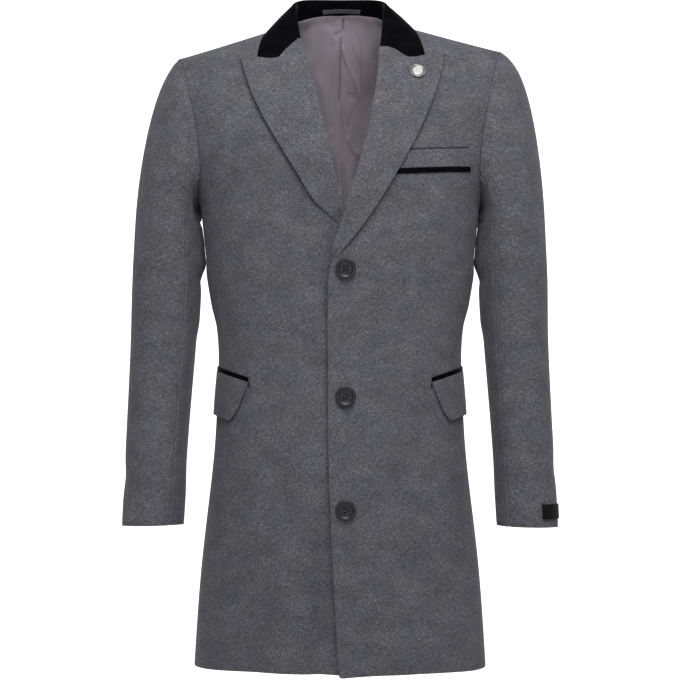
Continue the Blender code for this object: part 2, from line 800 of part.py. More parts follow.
def on_front(side, angle, height, out):
    panel = FRONTS[side]
    return panel.point(panel.place_at(height, 0.0), angle, out)


def make_hip_pocket(word, side):
    """The flap below the pocket's mouth and the velvet jet above it."""
    jet_out = LAID_ON + POCKET_EASE + TRIM_CLOTH / 2
    flap_out = LAID_ON + POCKET_EASE + CLOTH / 2

    def jet_at(across, up):
        angle, height = pocket_line(across)
        return on_front(side, angle, height + JET_HEIGHT * up, jet_out)

    def flap_at(across, up):
        down = 1 - up
        corner = (FLAP_SLANT * down + FLAP_ROUND * (1 - sqrt(1 - down**2))) / POCKET_RADIUS
        share = corner / (POCKET_BACK_ANGLE - POCKET_FRONT_ANGLE)
        angle, height = pocket_line(between(share, 1 - share, across))
        return on_front(side, angle, height - SEAM - FLAP_DEPTH * down, flap_out + FLAP_STAND_OFF * down)

    cloth(f"pocket_jet_{word}", jet_at, 10, 1, TRIM_CLOTH, VELVET)
    cloth(f"pocket_flap_{word}", flap_at, 10, 6, CLOTH, TWEED)


def make_chest_pocket():
    """The welt on the left chest, and the velvet jet under it."""
    panel = FRONTS[LEFT]

    def strip(low, height, out):
        def point_at(across, up):
            x = between(WELT_INNER_X, WELT_OUTER_X, across)
            z = between(WELT_INNER_Z, WELT_OUTER_Z, across) + low + height * up
            return panel.seen_at(x, z, overlap_lift(LEFT, x, z) + out)

        return point_at

    welt = strip(0.0, WELT_HEIGHT, LAID_ON + TRIM_CLOTH / 2)
    jet = strip(-WELT_JET_HEIGHT - SEAM, WELT_JET_HEIGHT, LAID_ON + TRIM_CLOTH / 2)
    cloth("chest_welt", welt, 8, 2, TRIM_CLOTH, TWEED)
    cloth("chest_jet", jet, 8, 1, TRIM_CLOTH, VELVET)


# Turned pieces


def turned(name, outline, radius, thickness, steps, material):
    """A round piece: an outline on +X, run from the face out and down to the back, turned about Z."""
    sketch = bmesh.new()
    points = [sketch.verts.new((p.radius * radius, 0.0, p.height * thickness)) for p in outline]
    for a, b in zip(points, points[1:]):
        sketch.edges.new((a, b))
    mesh = bpy.data.meshes.new(name)
    sketch.to_mesh(mesh)
    sketch.free()
    mesh.materials.append(material)
    piece = bpy.data.objects.new(name, mesh)
    coat.objects.link(piece)
    spin = piece.modifiers.new("Turn", "SCREW")
    spin.steps = spin.render_steps = steps
    spin.use_merge_vertices = True
    spin.merge_threshold = 0.00005
    spin.use_smooth_shade = True
    return piece


def seat(piece, point, normal):
    """Sets a turned piece's back on a point, facing along a normal."""
    turn = Vector((0, 0, 1)).rotation_difference(normal).to_matrix().to_4x4()
    piece.matrix_world = Matrix.Translation(point) @ turn


def thread_holes():
    """The four holes of a button, as one cutter."""
    cutter = bmesh.new()
    for x in (-0.5, 0.5):
        for y in (-0.5, 0.5):
            at = Matrix.Translation((x * BUTTON_HOLE_PITCH, y * BUTTON_HOLE_PITCH, 0))
            bmesh.ops.create_cone(
                cutter,
                cap_ends=True,
                segments=6,
                radius1=BUTTON_HOLE_RADIUS,
                radius2=BUTTON_HOLE_RADIUS,
                depth=4 * BUTTON_THICKNESS,
                matrix=at,
            )
    mesh = bpy.data.meshes.new("thread_holes")
    cutter.to_mesh(mesh)
    cutter.free()
    return mesh


def make_buttons():
    panel = FRONTS[LEFT]
    holes = thread_holes()
    for number, height in enumerate(BUTTON_HEIGHTS, start=1):
        place = panel.place_at(height, BUTTON_X)
        angle = angle_at(body_row(FRONT, place), BUTTON_X)
        normal = panel.normal(place, angle)
        lift = overlap_lift(LEFT, BUTTON_X, height)
        point = panel.point(place, angle, lift + LAID_ON + 0.0004)
        name = f"button_{number}"
        button = turned(name, BUTTON_OUTLINE, BUTTON_RADIUS, BUTTON_THICKNESS, BUTTON_STEPS, HORN)
        seat(button, point, normal)
        cutter = bpy.data.objects.new(f"thread_holes_{number}", holes)
        cutters.objects.link(cutter)
        cutter.hide_render = True
        cutter.display_type = "WIRE"
        seat(cutter, point, normal)
        cut = button.modifiers.new("Holes", "BOOLEAN")
        cut.operation = "DIFFERENCE"
        cut.object = cutter


def make_lapel_pin():
    place = FRONTS[LEFT].place_at(PIN_Z, PIN_X)
    angle = angle_at(body_row(FRONT, place), PIN_X)
    out = LAPEL_LIFT + LAPEL_CLOTH / 2 + PIN_GAP
    pin = turned("lapel_pin", PIN_OUTLINE, PIN_RADIUS, PIN_THICKNESS, BUTTON_STEPS, SILVER)
    seat(pin, FRONTS[LEFT].point(place, angle, out), FRONTS[LEFT].normal(place, angle))


clear_scene()
coat = collection("tweed_overcoat")
cutters = collection("cutters")

TWEED = finish("grey tweed", (0.105, 0.105, 0.118), 0.92)
VELVET = finish("black velvet", (0.006, 0.006, 0.008), 0.85)
SATIN = finish("mauve satin lining", (0.165, 0.140, 0.160), 0.45)
SATIN_TAPE = finish("black satin tape", (0.05, 0.05, 0.055), 0.40)
HORN = finish("black horn button", (0.012, 0.012, 0.013), 0.35)
SILVER = finish("silvered metal", (0.70, 0.68, 0.64), 0.30, 1.0)
LABEL = finish("black woven label", (0.010, 0.010, 0.011), 0.75)

body_panels = []
for word, side in (("left", LEFT), ("right", RIGHT)):
    body_panels += [make_front(f"front_{word}", side), make_back(f"back_{word}", side)]
    make_lapel(f"lapel_{word}", side)
    make_hip_pocket(word, side)
    sleeve = make_sleeves(word, side)
    if side == LEFT:
        make_cuff_label(sleeve)

make_lining()
collar_parts = collar_sections()
make_collar(collar_parts, body_tree(body_panels))
make_hanger_loop(collar_parts)
make_chest_pocket()
make_buttons()
make_lapel_pin()
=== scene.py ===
# %% [markdown]
# # Dressing a tweed overcoat
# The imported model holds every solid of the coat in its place, in metres: +X is the wearer's left, -Y the
# front, and the origin lies between the two points where the shoulder seams meet the neck. We keep those
# solids as a fixed frame and lay finished cloth, velvet, satin, horn and metal over them. Working on a
# frame like this means that nothing has to be fitted by eye: a piece goes where its solid is.

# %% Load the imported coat
import math
from collections import namedtuple

import bpy
import numpy as np
from mathutils import Matrix, Vector
from mathutils.bvhtree import BVHTree


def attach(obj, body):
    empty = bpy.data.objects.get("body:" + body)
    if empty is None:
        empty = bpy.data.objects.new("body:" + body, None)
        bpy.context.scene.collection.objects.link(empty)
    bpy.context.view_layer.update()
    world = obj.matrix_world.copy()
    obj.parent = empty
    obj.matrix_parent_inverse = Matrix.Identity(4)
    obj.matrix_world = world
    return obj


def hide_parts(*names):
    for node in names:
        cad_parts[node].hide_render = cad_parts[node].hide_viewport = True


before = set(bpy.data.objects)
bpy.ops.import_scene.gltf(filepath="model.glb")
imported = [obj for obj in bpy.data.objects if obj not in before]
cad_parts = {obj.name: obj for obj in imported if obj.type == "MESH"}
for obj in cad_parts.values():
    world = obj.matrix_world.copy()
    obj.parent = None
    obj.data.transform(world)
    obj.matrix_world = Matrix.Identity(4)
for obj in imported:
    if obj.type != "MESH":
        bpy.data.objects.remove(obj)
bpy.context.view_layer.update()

# %% [markdown]
# ## Camera
# The coat is seen straight from the front, from far enough away that its sides hardly converge. A long
# lens does the same here. The camera stands level with the waist, so no tilt or shift is needed.

# %% Camera
VIEW_WIDTH = 0.952
VIEW_DISTANCE = 3.3
VIEW_HEIGHT = -0.437
SENSOR = 36.0

bpy.ops.object.select_all(action="DESELECT")
eye = (0, -VIEW_DISTANCE, VIEW_HEIGHT)
bpy.ops.object.camera_add(location=eye, rotation=(math.radians(90), 0, 0))
camera = bpy.context.object
camera.data.sensor_width = SENSOR
camera.data.lens = SENSOR * VIEW_DISTANCE / VIEW_WIDTH
bpy.context.scene.camera = camera
print("lens", round(camera.data.lens, 1), "mm")

# %% [markdown]
# ## Floor and light
# A plain white floor lies where the wearer's soles would be. The light is that of a white studio: an even
# pale surround, which fills every hollow, a white backdrop lit from behind, and one large soft panel
# above the camera. The panel brightens cloth that faces up, such as the lapels and the chest, and leaves
# the hem a little darker. The Standard view keeps white paper white.

# %% Floor and backdrop
FLOOR_HEIGHT = -1.45
FLOOR_RADIUS, FLOOR_STEPS = 3.0, 96
BACKDROP_SIZE = 5.0
BACKDROP_DISTANCE = 4.2


def open_mesh():
    """Opens the active object's mesh for editing, with all of it selected."""
    bpy.ops.object.mode_set(mode="EDIT")
    bpy.ops.mesh.select_all(action="SELECT")


def close_mesh():
    """Goes back to moving whole objects."""
    bpy.ops.object.mode_set(mode="OBJECT")


def plain_finish(name, values):
    """A material with some of its shader's values set."""
    material = bpy.data.materials.new(name)
    material.use_nodes = True
    shader = material.node_tree.nodes["Principled BSDF"]
    for socket, value in values.items():
        shader.inputs[socket].default_value = value
    return material


bpy.ops.mesh.primitive_circle_add(vertices=FLOOR_STEPS, radius=FLOOR_RADIUS, fill_type="NGON")
floor = bpy.context.object
floor.name = "floor"
open_mesh()
bpy.ops.transform.translate(value=(0, 0, FLOOR_HEIGHT))
close_mesh()
matt_white = {"Base Color": (0.92, 0.92, 0.92, 1), "Roughness": 0.9}
floor.data.materials.append(plain_finish("white_paper", matt_white))

bpy.ops.mesh.primitive_plane_add(size=BACKDROP_SIZE)
backdrop = bpy.context.object
backdrop.name = "backdrop"
open_mesh()
bpy.ops.transform.rotate(value=math.radians(90), orient_axis="X", center_override=(0, 0, 0))
bpy.ops.transform.translate(value=(0, BACKDROP_DISTANCE, VIEW_HEIGHT))
close_mesh()
glow = {"Emission Color": (1, 1, 1, 1), "Emission Strength": 1.0}
backdrop.data.materials.append(plain_finish("lit_paper", glow))
print("floor at", FLOOR_HEIGHT, "backdrop at", BACKDROP_DISTANCE)

# %% Surround and panel
SURROUND = 0.50
PANEL_SIZE = 1.1
PANEL_POWER = 33
PANEL_PLACE = Vector((0.14, -1.35, 0.85))
COAT_MIDDLE = Vector((0, 0, -0.35))

studio = bpy.data.worlds.new("studio")
studio.use_nodes = True
bpy.context.scene.world = studio
backing = studio.node_tree.nodes["Background"]
backing.inputs["Color"].default_value = (1, 1, 1, 1)
backing.inputs["Strength"].default_value = SURROUND

towards_coat = (COAT_MIDDLE - PANEL_PLACE).to_track_quat("-Z", "Y").to_euler()
bpy.ops.object.light_add(type="AREA", location=PANEL_PLACE, rotation=towards_coat)
panel = bpy.context.object
panel.data.size = PANEL_SIZE
panel.data.energy = PANEL_POWER
bpy.context.scene.view_settings.view_transform = "Standard"
print("panel of", PANEL_POWER, "W")

# %% [markdown]
# ## Wiring shader nodes
# Every finish below is a small tree of shader nodes. Placing dozens of nodes by hand is slow, so one
# small class stands for a node's output. Adding, taking away or multiplying two of them adds a Math node,
# and one method makes every other kind of node.

# %% Strands of a shader
class Strand:
    """One value in a material's nodes. Arithmetic on strands adds Math nodes."""

    def __init__(self, tree, socket=None):
        self.tree = tree
        self.socket = socket

    def make(self, kind, settings, inputs, output=0):
        """Adds a node, sets it up, wires its inputs and gives back one of its outputs."""
        node = self.tree.nodes.new(kind)
        for name, value in settings.items():
            if name == "stops":
                set_stops(node.color_ramp, value)
            else:
                setattr(node, name, value)
        for name, value in inputs.items():
            if isinstance(value, Strand):
                self.tree.links.new(value.socket, node.inputs[name])
            else:
                node.inputs[name].default_value = value
        return Strand(self.tree, node.outputs[output])

    def sum(self, operation, first, second):
        """Adds one Math node on two values."""
        return self.make("ShaderNodeMath", {"operation": operation}, {0: first, 1: second})

    def __add__(self, other):
        return self.sum("ADD", self, other)

    def __sub__(self, other):
        return self.sum("SUBTRACT", self, other)

    def __rsub__(self, other):
        return self.sum("SUBTRACT", other, self)

    def __mul__(self, other):
        return self.sum("MULTIPLY", self, other)

    __radd__ = __add__
    __rmul__ = __mul__


# %% Finish helpers
def set_stops(ramp, stops):
    """Gives a colour ramp its stops, each a position and a colour."""
    while len(ramp.elements) < len(stops):
        ramp.elements.new(0.5)
    for element, (position, colour) in zip(ramp.elements, stops):
        element.position = position
        element.color = (*colour, 1)


def new_finish(name, constants):
    """A plain finish, its shader and a strand to start from."""
    material = plain_finish(name, constants)
    return material, material.node_tree.nodes["Principled BSDF"], Strand(material.node_tree)


def feed(shader, **strands):
    """Wires strands into a shader's sockets, with underscores for spaces."""
    for name, strand in strands.items():
        strand.tree.links.new(strand.socket, shader.inputs[name.replace("_", " ")])


def speckle(start, place, scale, detail=2.0, roughness=0.55):
    """A noise value at a place, stretched by its scale along each direction."""
    stretched = start.make("ShaderNodeMapping", {}, {"Vector": place, "Scale": scale})
    inputs = {"Vector": stretched, "Scale": 1.0, "Detail": detail, "Roughness": roughness}
    return start.make("ShaderNodeTexNoise", {}, inputs, "Fac")


def in_space(start):
    """Each point's place in space, in metres."""
    return start.make("ShaderNodeTexCoord", {}, {}, "Object")


def on_cloth(start):
    """Each point's place on the map of its piece, in metres."""
    return start.make("ShaderNodeUVMap", {"uv_map": "grain"}, {}, "UV")


def graded(value, stops):
    """The colour that a ramp gives a value."""
    return value.make("ShaderNodeValToRGB", {"stops": stops}, {"Fac": value}, "Color")


def tinted(colour, tint):
    """One colour multiplied by another."""
    settings = {"data_type": "RGBA", "blend_type": "MULTIPLY"}
    return colour.make("ShaderNodeMix", settings, {0: 1.0, 6: colour, 7: tint}, 2)


def raised(height, strength, distance):
    """The normal of a surface raised by a height."""
    bump = {"Height": height, "Strength": strength, "Distance": distance}
    return height.make("ShaderNodeBump", {}, bump, "Normal")


print("shader helpers ready")

# %% [markdown]
# ## Tweed
# The cloth is a brushed wool spun from light and dark fibres, so close to it is a mass of short flecks
# and from a step back an even grey. Four noises give its lightness: fine flecks, short streaks along the
# weft and the warp, and wide soft clouds. A fifth one tints it, bluish where the dye took well and nearer
# to olive where it didn't. The streaks run on a map laid on the cloth in metres, so that they follow each
# piece round the body. Flecks have no direction, so they can fill space. Flecks and faint twill ribs
# raise a slight nap.

# %% Tweed
FLECKS_SHARE, WEFT_SHARE, WARP_SHARE, CLOUDS_SHARE = 1.12, 0.66, 0.52, 0.36
TWILL_TURN = math.radians(38)


def tweed_finish():
    constants = {
        "Specular IOR Level": 0.12,
        "Sheen Weight": 0.12,
        "Sheen Roughness": 0.45,
        "Sheen Tint": (0.75, 0.77, 0.85, 1),
    }
    material, shader, start = new_finish("tweed", constants)
    grain = on_cloth(start)
    place = in_space(start)
    flecks = speckle(start, place, (580, 580, 580), 2.5, 0.65)
    weft = speckle(start, grain, (150, 760, 1))
    warp = speckle(start, grain, (800, 170, 1))
    clouds = speckle(start, place, (34, 34, 46), 3.0)
    threads = (flecks - 0.5) * FLECKS_SHARE + (weft - 0.5) * WEFT_SHARE + (warp - 0.5) * WARP_SHARE
    mixed = threads + (clouds - 0.5) * CLOUDS_SHARE + 0.5
    wool = (
        (0.10, (0.027, 0.027, 0.030)),
        (0.40, (0.066, 0.066, 0.073)),
        (0.60, (0.101, 0.101, 0.110)),
        (0.92, (0.211, 0.211, 0.222)),
    )
    dye = speckle(start, place, (26, 26, 30))
    dyes = ((0.36, (0.91, 0.91, 1.00)), (0.50, (0.94, 0.93, 0.98)), (0.64, (0.96, 0.95, 0.94)))
    colour = tinted(graded(mixed, wool), graded(dye, dyes))
    twill = start.make("ShaderNodeMapping", {}, {"Vector": grain, "Rotation": (0, 0, TWILL_TURN)})
    weave = {"Vector": twill, "Scale": 330, "Distortion": 2.0, "Detail": 1.0}
    ribs = start.make("ShaderNodeTexWave", {}, weave, "Fac")
    nap = raised(flecks * 0.75 + ribs * 0.25, 0.35, 0.0008)
    feed(shader, Base_Color=colour, Roughness=0.86 + flecks * 0.12, Normal=nap)
    return material


tweed = tweed_finish()
print("tweed made with", len(tweed.node_tree.nodes), "nodes")

# %% [markdown]
# ## Velvet
# Collar and pocket jets are black cotton velvet. Its pile swallows light seen straight on and glows a
# little where it turns away, which the shader's sheen gives. Uneven brushing leaves soft patches a touch
# lighter.

# %% Velvet
def velvet_finish():
    constants = {
        "Specular IOR Level": 0.02,
        "Sheen Weight": 0.10,
        "Sheen Roughness": 0.30,
        "Sheen Tint": (0.55, 0.56, 0.64, 1),
    }
    material, shader, start = new_finish("velvet", constants)
    place = in_space(start)
    pile = speckle(start, place, (900, 900, 900), 1.5)
    brushed = speckle(start, place, (38, 38, 60), 3.0)
    black = ((0.30, (0.0005, 0.0005, 0.0009)), (0.75, (0.0030, 0.0031, 0.0046)))
    colour = graded((pile - 0.5) * 0.6 + brushed, black)
    feed(shader, Base_Color=colour, Roughness=0.72 + brushed * 0.2, Normal=raised(pile, 0.3, 0.0006))
    return material


velvet = velvet_finish()
print("velvet made with", len(velvet.node_tree.nodes), "nodes")

# %% [markdown]
# ## Satin lining and tape
# The lining is a mauve grey satin. Its long floats lie along the cloth, so it is smooth and shines softly
# along each fold, with a fine diagonal line in it. The hanger loop is a black tape of the same weave.

# %% Satin
FLOATS_TURN = math.radians(55)


def satin_finish(name, dark, light, roughness):
    constants = {"Specular IOR Level": 0.45, "Sheen Weight": 0.05, "Sheen Roughness": 0.35}
    material, shader, start = new_finish(name, constants)
    grain = on_cloth(start)
    turned = start.make("ShaderNodeMapping", {}, {"Vector": grain, "Rotation": (0, 0, FLOATS_TURN)})
    weave = {"Vector": turned, "Scale": 420, "Distortion": 0.6}
    floats = start.make("ShaderNodeTexWave", {}, weave, "Fac")
    threads = speckle(start, grain, (1500, 160, 1), 1.5)
    clouds = speckle(start, grain, (30, 22, 1))
    colour = graded(clouds * 0.55 + threads * 0.35 + floats * 0.10, ((0.25, dark), (0.75, light)))
    sheer = raised(floats + threads, 0.08, 0.0004)
    feed(shader, Base_Color=colour, Roughness=roughness + threads * 0.14, Normal=sheer)
    return material


lining_satin = satin_finish("lining_satin", (0.170, 0.147, 0.171), (0.252, 0.222, 0.254), 0.34)
tape_satin = satin_finish("tape_satin", (0.020, 0.020, 0.023), (0.075, 0.075, 0.082), 0.26)
print("satins made")

# %% [markdown]
# ## Horn, thread, metal and label
# The buttons are dark polished horn with faint cloudy streaks. Painted highlights lighten the dish and the
# top of the rim, and painted shade darkens the groove between them and the outer edge. Their map gives
# each point's distance from the middle, so one ramp holds these painted rings of light and shade. Thread
# is a matt twist. The pin is silvered metal, scuffed a little, with a pale enamel centre. The label is a
# bare black damask.

# %% Small finishes
RAMP_PER_METRE = 70


def horn_finish():
    material, shader, start = new_finish("horn", {"Specular IOR Level": 0.34})
    place = in_space(start)
    streaks = speckle(start, place, (90, 160, 420), 3.0)
    scuffs = speckle(start, place, (700, 700, 700))
    black = ((0.35, (0.0190, 0.0190, 0.0215)), (0.80, (0.0420, 0.0415, 0.0450)))
    radius = start.make("ShaderNodeSeparateXYZ", {}, {0: on_cloth(start)}, "X")
    # Painted highlights on the dish and the top of the rim, painted shade in the groove and at the outer
    # edge.
    painted_shade, painted_dish_highlight, painted_rim_highlight = (0.08, 0.08, 0.08), (0.80, 0.80, 0.80), (1.0, 1.0, 1.0)
    painted_light_rings = ((0.56, painted_dish_highlight), (0.65, painted_shade), (0.71, painted_shade), (0.76, painted_rim_highlight), (0.84, painted_rim_highlight), (0.91, painted_shade))
    colour = tinted(graded(streaks, black), graded(radius * RAMP_PER_METRE, painted_light_rings))
    feed(shader, Base_Color=colour, Roughness=0.16 + scuffs * 0.16)
    return material


def speckled_finish(name, constants, scale, stops, roughness, rougher, detail=2.0):
    """A finish whose colour and roughness follow one noise."""
    material, shader, start = new_finish(name, constants)
    noise = speckle(start, in_space(start), (scale, scale, scale), detail)
    feed(shader, Base_Color=graded(noise, stops), Roughness=roughness + noise * rougher)
    return material


# %% Metal and label
def metal_finish():
    material, shader, start = new_finish("silvered", {"Metallic": 1.0})
    place = in_space(start)
    tarnish = speckle(start, place, (260, 260, 260), 3.0)
    scuffs = speckle(start, place, (1500, 400, 1500), 1.0)
    silver = ((0.25, (0.20, 0.19, 0.18)), (0.60, (0.42, 0.41, 0.39)))
    feed(shader, Base_Color=graded(tarnish, silver), Roughness=0.18 + scuffs * 0.22)
    return material


def label_finish():
    material, shader, start = new_finish("damask", {"Specular IOR Level": 0.06, "Sheen Weight": 0.02})
    grain = on_cloth(start)
    weft, warp = {"Vector": grain, "Scale": 640}, {"Vector": grain, "Scale": 520}
    picks = start.make("ShaderNodeTexWave", {"bands_direction": "Y"}, weft, "Fac")
    ends = start.make("ShaderNodeTexWave", {"bands_direction": "X"}, warp, "Fac")
    worn = speckle(start, grain, (300, 300, 1))
    weave = picks * 0.5 + ends * 0.2 + worn * 0.3
    black = ((0.2, (0.0012, 0.0012, 0.0014)), (0.8, (0.0070, 0.0070, 0.0078)))
    colour = graded(weave, black)
    feed(shader, Base_Color=colour, Roughness=0.5 + worn * 0.2, Normal=raised(weave, 0.3, 0.0004))
    return material


# %% Small finishes made
horn = horn_finish()
silvered = metal_finish()
damask = label_finish()
twist = ((0.3, (0.002, 0.002, 0.003)), (0.7, (0.010, 0.010, 0.011)))
matt = {"Specular IOR Level": 0.25, "Sheen Weight": 0.1}
black_thread = speckled_finish("black_thread", matt, 1800, twist, 0.6, 0.2, 1.0)
cream = ((0.30, (0.40, 0.38, 0.35)), (0.70, (0.52, 0.50, 0.47)))
glazed = {"Coat Weight": 0.6, "Coat Roughness": 0.08}
enamel = speckled_finish("enamel", glazed, 420, cream, 0.22, 0.12)
print("small finishes made")

# %% [markdown]
# ## Cutting cloth from a solid
# A cloth piece here is a thin shell on its solid's form. We copy the solid's mesh, merge its loose
# triangles, join them back into quads and smooth the result with Subdivision Surface. The sharp edges
# round the rim are creased a little first, so that the cut edge stays where it is and only its corners
# soften, as wool does.

# %% Cloth helper
RIM_ANGLE = math.radians(45)
RIM_CREASE = 0.55
MERGE_REACH = 0.00002
QUAD_BEND, QUAD_SKEW = math.radians(60), math.radians(75)
SMOOTH_LEVELS = 3


def only(piece):
    """Selects one object and makes it active."""
    bpy.ops.object.select_all(action="DESELECT")
    piece.select_set(True)
    bpy.context.view_layer.objects.active = piece


def give(piece, finish):
    """Makes a finish the only one of a piece."""
    piece.data.materials.clear()
    piece.data.materials.append(finish)


def cut_cloth(name, node, finish):
    """A smooth shell from a merged copy of a solid's mesh."""
    piece = bpy.data.objects.new(name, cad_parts[node].data.copy())
    bpy.context.scene.collection.objects.link(piece)
    give(piece, finish)
    only(piece)
    bpy.ops.mesh.customdata_custom_splitnormals_clear()
    bpy.ops.object.mode_set(mode="EDIT")
    bpy.ops.mesh.select_mode(type="EDGE")
    bpy.ops.mesh.select_all(action="SELECT")
    bpy.ops.mesh.remove_doubles(threshold=MERGE_REACH)
    bpy.ops.mesh.tris_convert_to_quads(
        face_threshold=QUAD_BEND, shape_threshold=QUAD_SKEW, topology_influence=1.0
    )
    bpy.ops.mesh.select_all(action="DESELECT")
    bpy.ops.mesh.edges_select_sharp(sharpness=RIM_ANGLE)
    bpy.ops.transform.edge_crease(value=RIM_CREASE)
    close_mesh()
    bpy.ops.object.modifier_add(type="SUBSURF")
    smoothing = piece.modifiers[-1]
    smoothing.levels = SMOOTH_LEVELS
    smoothing.render_levels = SMOOTH_LEVELS
    bpy.ops.object.modifier_apply(modifier=smoothing.name)
    bpy.ops.object.shade_smooth()
    return piece


# %% Points and maps
def points_of(piece):
    """A piece's points as rows of x, y and z."""
    points = np.empty(3 * len(piece.data.vertices), np.float32)
    piece.data.vertices.foreach_get("co", points)
    return points.reshape(-1, 3).astype(float)


def put_points(piece, points):
    """Moves a piece's points to new places."""
    piece.data.vertices.foreach_set("co", points.astype(np.float32).ravel())
    piece.data.update()


def lay_grain(piece, across, up):
    """Gives a piece a map in metres, which its weave follows."""
    grain = piece.data.uv_layers.new(name="grain")
    corners = np.empty(len(piece.data.loops), np.int32)
    piece.data.loops.foreach_get("vertex_index", corners)
    flat = np.stack((across, up), axis=1)[corners]
    grain.data.foreach_set("uv", flat.astype(np.float32).ravel())


def sew_on(piece, slot, *nodes):
    """The piece rides on the coat and stands for its solids, which it hides. Its slot is not used."""
    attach(piece, "root")
    if nodes:
        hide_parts(*nodes)


print("cloth helpers ready")

# %% [markdown]
# ## Folds
# Heavy wool hardly wrinkles: it bends in wide, shallow folds where the body pulls it. Each fold is given
# as a crease with a start and an end on the cloth, a width, a depth and a bow to one side, all in
# millimetres. Troughs have a negative depth and ridges a positive one. A crease fades over a share of its
# length at each end, and both faces of the shell move the same way under it, so they stay together.
# Places on the body are measured round it from the middle of the front, and up from the neck.

# %% Fold helpers
Crease = namedtuple("Crease", "across up to_across to_up width depth bow fade", defaults=(0, 0.32))
MM = 1000
BODY_RADIUS = 0.18
BODY_HALF_WIDTH, BODY_HALF_DEPTH = 0.19, 0.13


def eased(share):
    """Runs smoothly from 0 to 1 as share does, and stays there."""
    held = np.clip(share, 0, 1)
    return held * held * (3 - 2 * held)


def crease_lift(across, up, creases, girth=None):
    """How far a set of creases lifts points that lie at places across and up."""
    lift = np.zeros(len(across))
    for crease in creases:
        run = np.array((crease.to_across - crease.across, crease.to_up - crease.up)) / MM
        length = math.hypot(*run)
        along = run / length
        aside = across - crease.across / MM
        if girth:
            aside = (aside + girth / 2) % girth - girth / 2
        above = up - crease.up / MM
        share = (aside * along[0] + above * along[1]) / length
        off = above * along[0] - aside * along[1] - crease.bow / MM * 4 * share * (1 - share)
        fade = eased(share / crease.fade) * eased((1 - share) / crease.fade)
        lift += crease.depth / MM * np.exp(-((off / crease.width * MM) ** 2)) * fade
    return lift


def round_body(points):
    """Places on the body: how far round from the middle of the front, and how high."""
    return np.arctan2(points[:, 0], -points[:, 1]) * BODY_RADIUS, points[:, 2]


def out_of_body(points):
    """The level direction that leads out of the body at each point."""
    out = points / np.array((BODY_HALF_WIDTH**2, BODY_HALF_DEPTH**2, 1))
    out[:, 2] = 0
    return out / np.linalg.norm(out, axis=1, keepdims=True)


def surface_of(*pieces):
    """The faces of some pieces as one surface, to ask where it is nearest or where a ray meets it."""
    points, faces = [], []
    for piece in pieces:
        first = len(points)
        points += points_of(piece).tolist()
        faces += [[first + corner for corner in face.vertices] for face in piece.data.polygons]
    return BVHTree.FromPolygons(points, faces)


print("fold helpers ready")

# %% [markdown]
# ## Fronts and backs
# The fronts show a soft hollow from each armpit to the closing, slight pulls from the upper button, and a
# few long folds that run out at the hem. The backs get the same kind of folds: hollows between the
# shoulder blades and the sides, pulls at the waist and flutes in the skirt.

# %% Folds of the body
BODY_CREASES = (
    Crease(-165, -200, -65, -305, 30, -2.8, 6),
    Crease(158, -238, 58, -308, 26, -2, -5),
    Crease(-30, -352, -155, -396, 16, -1.4, -4),
    Crease(32, -346, 145, -402, 18, -1.2, 4),
    Crease(-190, -574, -70, -636, 18, -1.4, 6),
    Crease(184, -572, 80, -642, 16, -1.2, -4),
    Crease(-172, -708, -52, -701, 18, 1.3, 3),
    Crease(68, -706, 180, -713, 17, 1.2, 2),
    Crease(-28, -655, -40, -1050, 20, -4, 2),
    Crease(-150, -660, -142, -1060, 31, -4.2, -8),
    Crease(158, -640, 148, -1080, 35, -3.8, 6),
    Crease(-94, -700, -85, -1040, 26, 2, 4),
    Crease(97, -720, 88, -1060, 29, 1.9, -3),
    Crease(236, -620, 240, -1060, 24, 2.2, 4),
    Crease(-232, -650, -241, -1050, 27, 2, -4),
    Crease(283, -318, 283, -420, 34, 3.2),
    Crease(-283, -318, -283, -420, 34, 2.6),
    Crease(395, -110, 470, -330, 30, -2.6, 10),
    Crease(-400, -120, -465, -345, 33, -2.4, -10),
    Crease(320, -395, 500, -440, 18, -1.8, 6),
    Crease(-330, -410, -495, -436, 16, -1.7, -5),
    Crease(360, -470, 520, -462, 15, -1.2, -4),
    Crease(-345, -478, -515, -466, 17, -1.3, 4),
    Crease(400, -560, 412, -1080, 32, -4.6, 6),
    Crease(-395, -580, -408, -1060, 34, -4.3, -6),
    Crease(482, -620, 490, -1060, 30, 3, -4),
    Crease(-478, -600, -492, -1080, 28, 3.2, 4),
)
HemLift = namedtuple("HemLift", "across lift")
HEM_LIFTS = (
    HemLift(-0.350, 0.0),
    HemLift(-0.220, 0.0016),
    HemLift(-0.190, 0.0026),
    HemLift(-0.130, 0.0046),
    HemLift(-0.066, 0.0041),
    HemLift(0.000, 0.0028),
    HemLift(0.120, 0.0025),
    HemLift(0.177, 0.0008),
    HemLift(0.215, -0.0007),
    HemLift(0.350, 0.0),
)
HEM_HEIGHT, HEM_LIFT_HEIGHT = -0.889, 0.16


# %% Settling cloth on the body
def settle_on_body(piece):
    """Moves a piece with the folds of the body and with the uneven rise of the hem."""
    points = points_of(piece)
    across, up = round_body(points)
    lift = crease_lift(across, up, BODY_CREASES)
    points += out_of_body(points) * lift[:, None]
    rise = np.interp(across, [row.across for row in HEM_LIFTS], [row.lift for row in HEM_LIFTS])
    points[:, 2] += rise * eased(1 - (up - HEM_HEIGHT) / HEM_LIFT_HEIGHT)
    put_points(piece, points)
    return across, up


def body_lift_at(point):
    """How far the folds move the body outwards at one point, as a vector."""
    place = np.array([point], float)
    across, up = round_body(place)
    return Vector(out_of_body(place)[0] * crease_lift(across, up, BODY_CREASES)[0])


# %% [markdown]
# The solids keep a narrow gap along every seam, because they may not touch. Sewn cloth has none. So the
# points along a seam are each moved almost half-way to the nearest place on the neighbour, and a little
# inwards, because stitches pull the cloth in and leave a fine dip.

# %% Closing seams
SEAM_REACH, SEAM_FADE, SEAM_KEPT, SEAM_DIP = 0.0030, 0.0010, 0.00014, 0.0009


